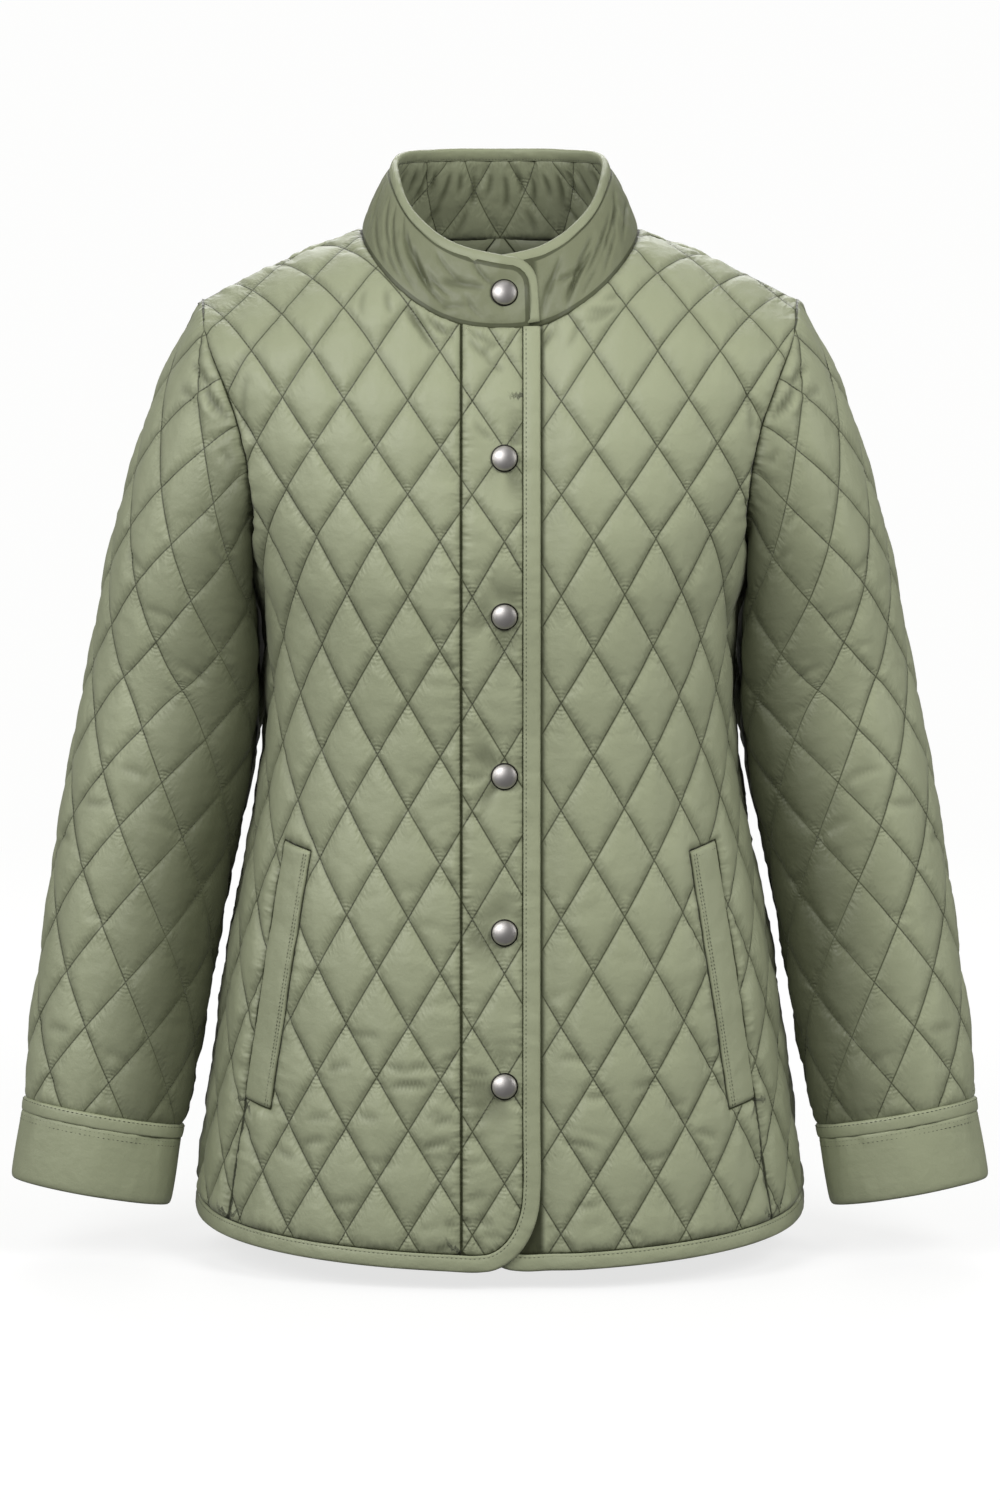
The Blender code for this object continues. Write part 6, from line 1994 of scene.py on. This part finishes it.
def inside_cloth():
    """The plain inner face, with the stitch lines showing through."""
    look = Look("inside")
    flat = look.uv("flat")
    closest = look.math("MINIMUM", *(abs(off_line(part)) for part in look.split(look.uv("quilt"))))
    hollow = look.math("POWER", look.ramp(closest, 0.0, 0.16), 0.5)
    look.bump(hollow * INSIDE_HIGH + look.noise(flat, 95.0, 3.0) * INSIDE_CRINKLE)
    look.feed("Base Color", look.mix(look.ramp(closest, 0.010, 0.020), THREAD_COLOUR, INSIDE_COLOUR))
    look.set(Roughness=0.5, Sheen_Weight=0.1)
    return look.material


def thread():
    """Dull dark thread, lighter in places."""
    look = Look("thread")
    place = look.object_place()
    look.feed("Base Color", look.mix(look.noise(place, 900.0, 1.0), THREAD_COLOUR, THREAD_LIGHT))
    look.bump(look.noise(place, 4000.0, 1.0), 0.0001)
    look.set(Roughness=0.6, Sheen_Weight=0.2)
    return look.material


def metal(name, colour, roughness):
    """Nickel with fine scratches and a slightly uneven polish."""
    look = Look(name)
    place = look.object_place()
    grain = look.noise(look.scaled(place, 1.0, 1.0, 14.0), 900.0, 3.0, 0.6)
    look.feed("Roughness", look.ramp(grain, 0.3, 0.7, roughness - 0.05, roughness + 0.07))
    look.bump(grain, 0.00002)
    deep = tuple(0.86 * c for c in colour[:3]) + (1.0,)
    look.feed("Base Color", look.mix(look.noise(place, 260.0, 3.0), deep, colour))
    look.set(Metallic=1.0)
    return look.material


CLOTH_COLOUR = (0.300, 0.322, 0.208, 1.0)
CLOTH_DARK = (0.276, 0.297, 0.189, 1.0)
PLAIN_COLOUR = (0.296, 0.318, 0.205, 1.0)
INSIDE_COLOUR = (0.190, 0.205, 0.128, 1.0)
# Painted shade: the collar's cloth and its binding are darker copies of the cloth's colours
COLLAR_SHADED_COLOUR = (0.222, 0.238, 0.148, 1.0)
COLLAR_SHADED_DARK = (0.186, 0.200, 0.122, 1.0)
COLLAR_EDGE_SHADED = (0.208, 0.224, 0.140, 1.0)
THREAD_COLOUR = (0.026, 0.030, 0.010, 1.0)
THREAD_LIGHT = (0.110, 0.120, 0.070, 1.0)


def make_materials():
    """Every material of the jacket, by name."""
    return {
        "quilted": satin("quilted", CLOTH_COLOUR, CLOTH_DARK, 0.50, quilted=True),
        "plain": satin("plain", PLAIN_COLOUR, CLOTH_DARK, 0.48),
        "collar": satin("collar", COLLAR_SHADED_COLOUR, COLLAR_SHADED_DARK, 0.45, collar=True),
        "collar_edge": satin("collar_edge", COLLAR_EDGE_SHADED, CLOTH_DARK, 0.48),
        "inside": inside_cloth(),
        "thread": thread(),
        "snap": metal("snap", (0.74, 0.71, 0.69, 1.0), 0.50),
        "snap_rim": metal("snap_rim", (0.05, 0.047, 0.044, 1.0), 0.45),
    }


# ---------------------------------------------------------------- floor, light, camera

def build_stage():
    """A paper floor that turns into plain light far from the jacket, and the light of the room."""
    mesh = bpy.data.meshes.new("floor")
    corners = [(x * FLOOR_HALF, y * FLOOR_HALF, FLOOR) for x, y in ((-1, -1), (1, -1), (1, 1), (-1, 1))]
    mesh.from_pydata(corners, [], [(0, 1, 2, 3)])
    look = Look("floor")
    x, y = look.split(look.object_place())
    away = (x * x + y * y).root()
    grey = look.ramp(away, *FLOOR_FADE, PAPER, 0.0)
    look.feed("Base Color", look.vector(grey, grey, grey))
    look.feed("Emission Strength", look.ramp(away, *FLOOR_FADE, *PAPER_LIGHT))
    look.set(Roughness=0.9, Specular_IOR_Level=0.0, Emission_Color=(1.0, 1.0, 0.995, 1.0))
    mesh.materials.append(look.material)
    floor = bpy.data.objects.new("floor", mesh)
    bpy.context.scene.collection.objects.link(floor)
    floor.visible_diffuse = False
    floor.visible_glossy = False
    floor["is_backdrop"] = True
    world = bpy.data.worlds.new("studio")
    world.use_nodes = True
    world.node_tree.nodes["Background"].inputs[0].default_value = (1.0, 1.0, 1.0, 1.0)
    world.node_tree.nodes["Background"].inputs[1].default_value = WORLD_LIGHT
    bpy.context.scene.world = world


def add_softbox(name, strength, size, turn, rise, glossy):
    """A square light; strength is the light it gives at the middle of the jacket."""
    light = bpy.data.lights.new(name, "AREA")
    light.shape = "SQUARE"
    light.size = size
    light.energy = strength * math.pi * LIGHT_DISTANCE**2
    lamp = bpy.data.objects.new(name, light)
    turn, rise = math.radians(turn), math.radians(rise)
    way = Vector((math.sin(turn) * math.cos(rise), -math.cos(turn) * math.cos(rise), math.sin(rise)))
    lamp.location = way * LIGHT_DISTANCE + Vector((0, 0, CAMERA_AIM + LIGHT_AIM))
    lamp.rotation_euler = way.to_track_quat("Z", "Y").to_euler()
    lamp.visible_glossy = glossy
    bpy.context.scene.collection.objects.link(lamp)


def build_camera():
    """A long lens from the front, a little above."""
    data = bpy.data.cameras.new("camera")
    data.sensor_fit = "VERTICAL"
    data.sensor_height = SENSOR
    data.lens = CAMERA_LENS
    camera = bpy.data.objects.new("camera", data)
    height = CAMERA_AIM + CAMERA_DISTANCE * math.sin(CAMERA_RISE)
    camera.location = (0.0, -CAMERA_DISTANCE * math.cos(CAMERA_RISE), height)
    camera.rotation_euler = Euler((math.pi / 2 - CAMERA_RISE, 0, 0))
    bpy.context.scene.collection.objects.link(camera)
    bpy.context.scene.camera = camera


def numbers_of(box):
    """A box as plain lists."""
    return [[float(v) for v in corner] for corner in box]


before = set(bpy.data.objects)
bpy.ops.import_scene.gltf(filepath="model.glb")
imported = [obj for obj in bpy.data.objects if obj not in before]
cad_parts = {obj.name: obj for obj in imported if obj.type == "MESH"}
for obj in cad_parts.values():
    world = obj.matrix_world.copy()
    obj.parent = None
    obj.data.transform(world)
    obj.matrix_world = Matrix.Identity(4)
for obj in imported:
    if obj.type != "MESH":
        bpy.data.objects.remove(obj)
cad_box = numbers_of(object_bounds())
MATERIALS = make_materials()
build_body()
build_sleeves()
build_collar()
build_snaps()
build_stage()
for softbox in LIGHTS:
    add_softbox(*softbox)
build_camera()
bpy.context.scene.view_settings.view_transform = "Standard"
{"cad": cad_box, "visual": numbers_of(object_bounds())}
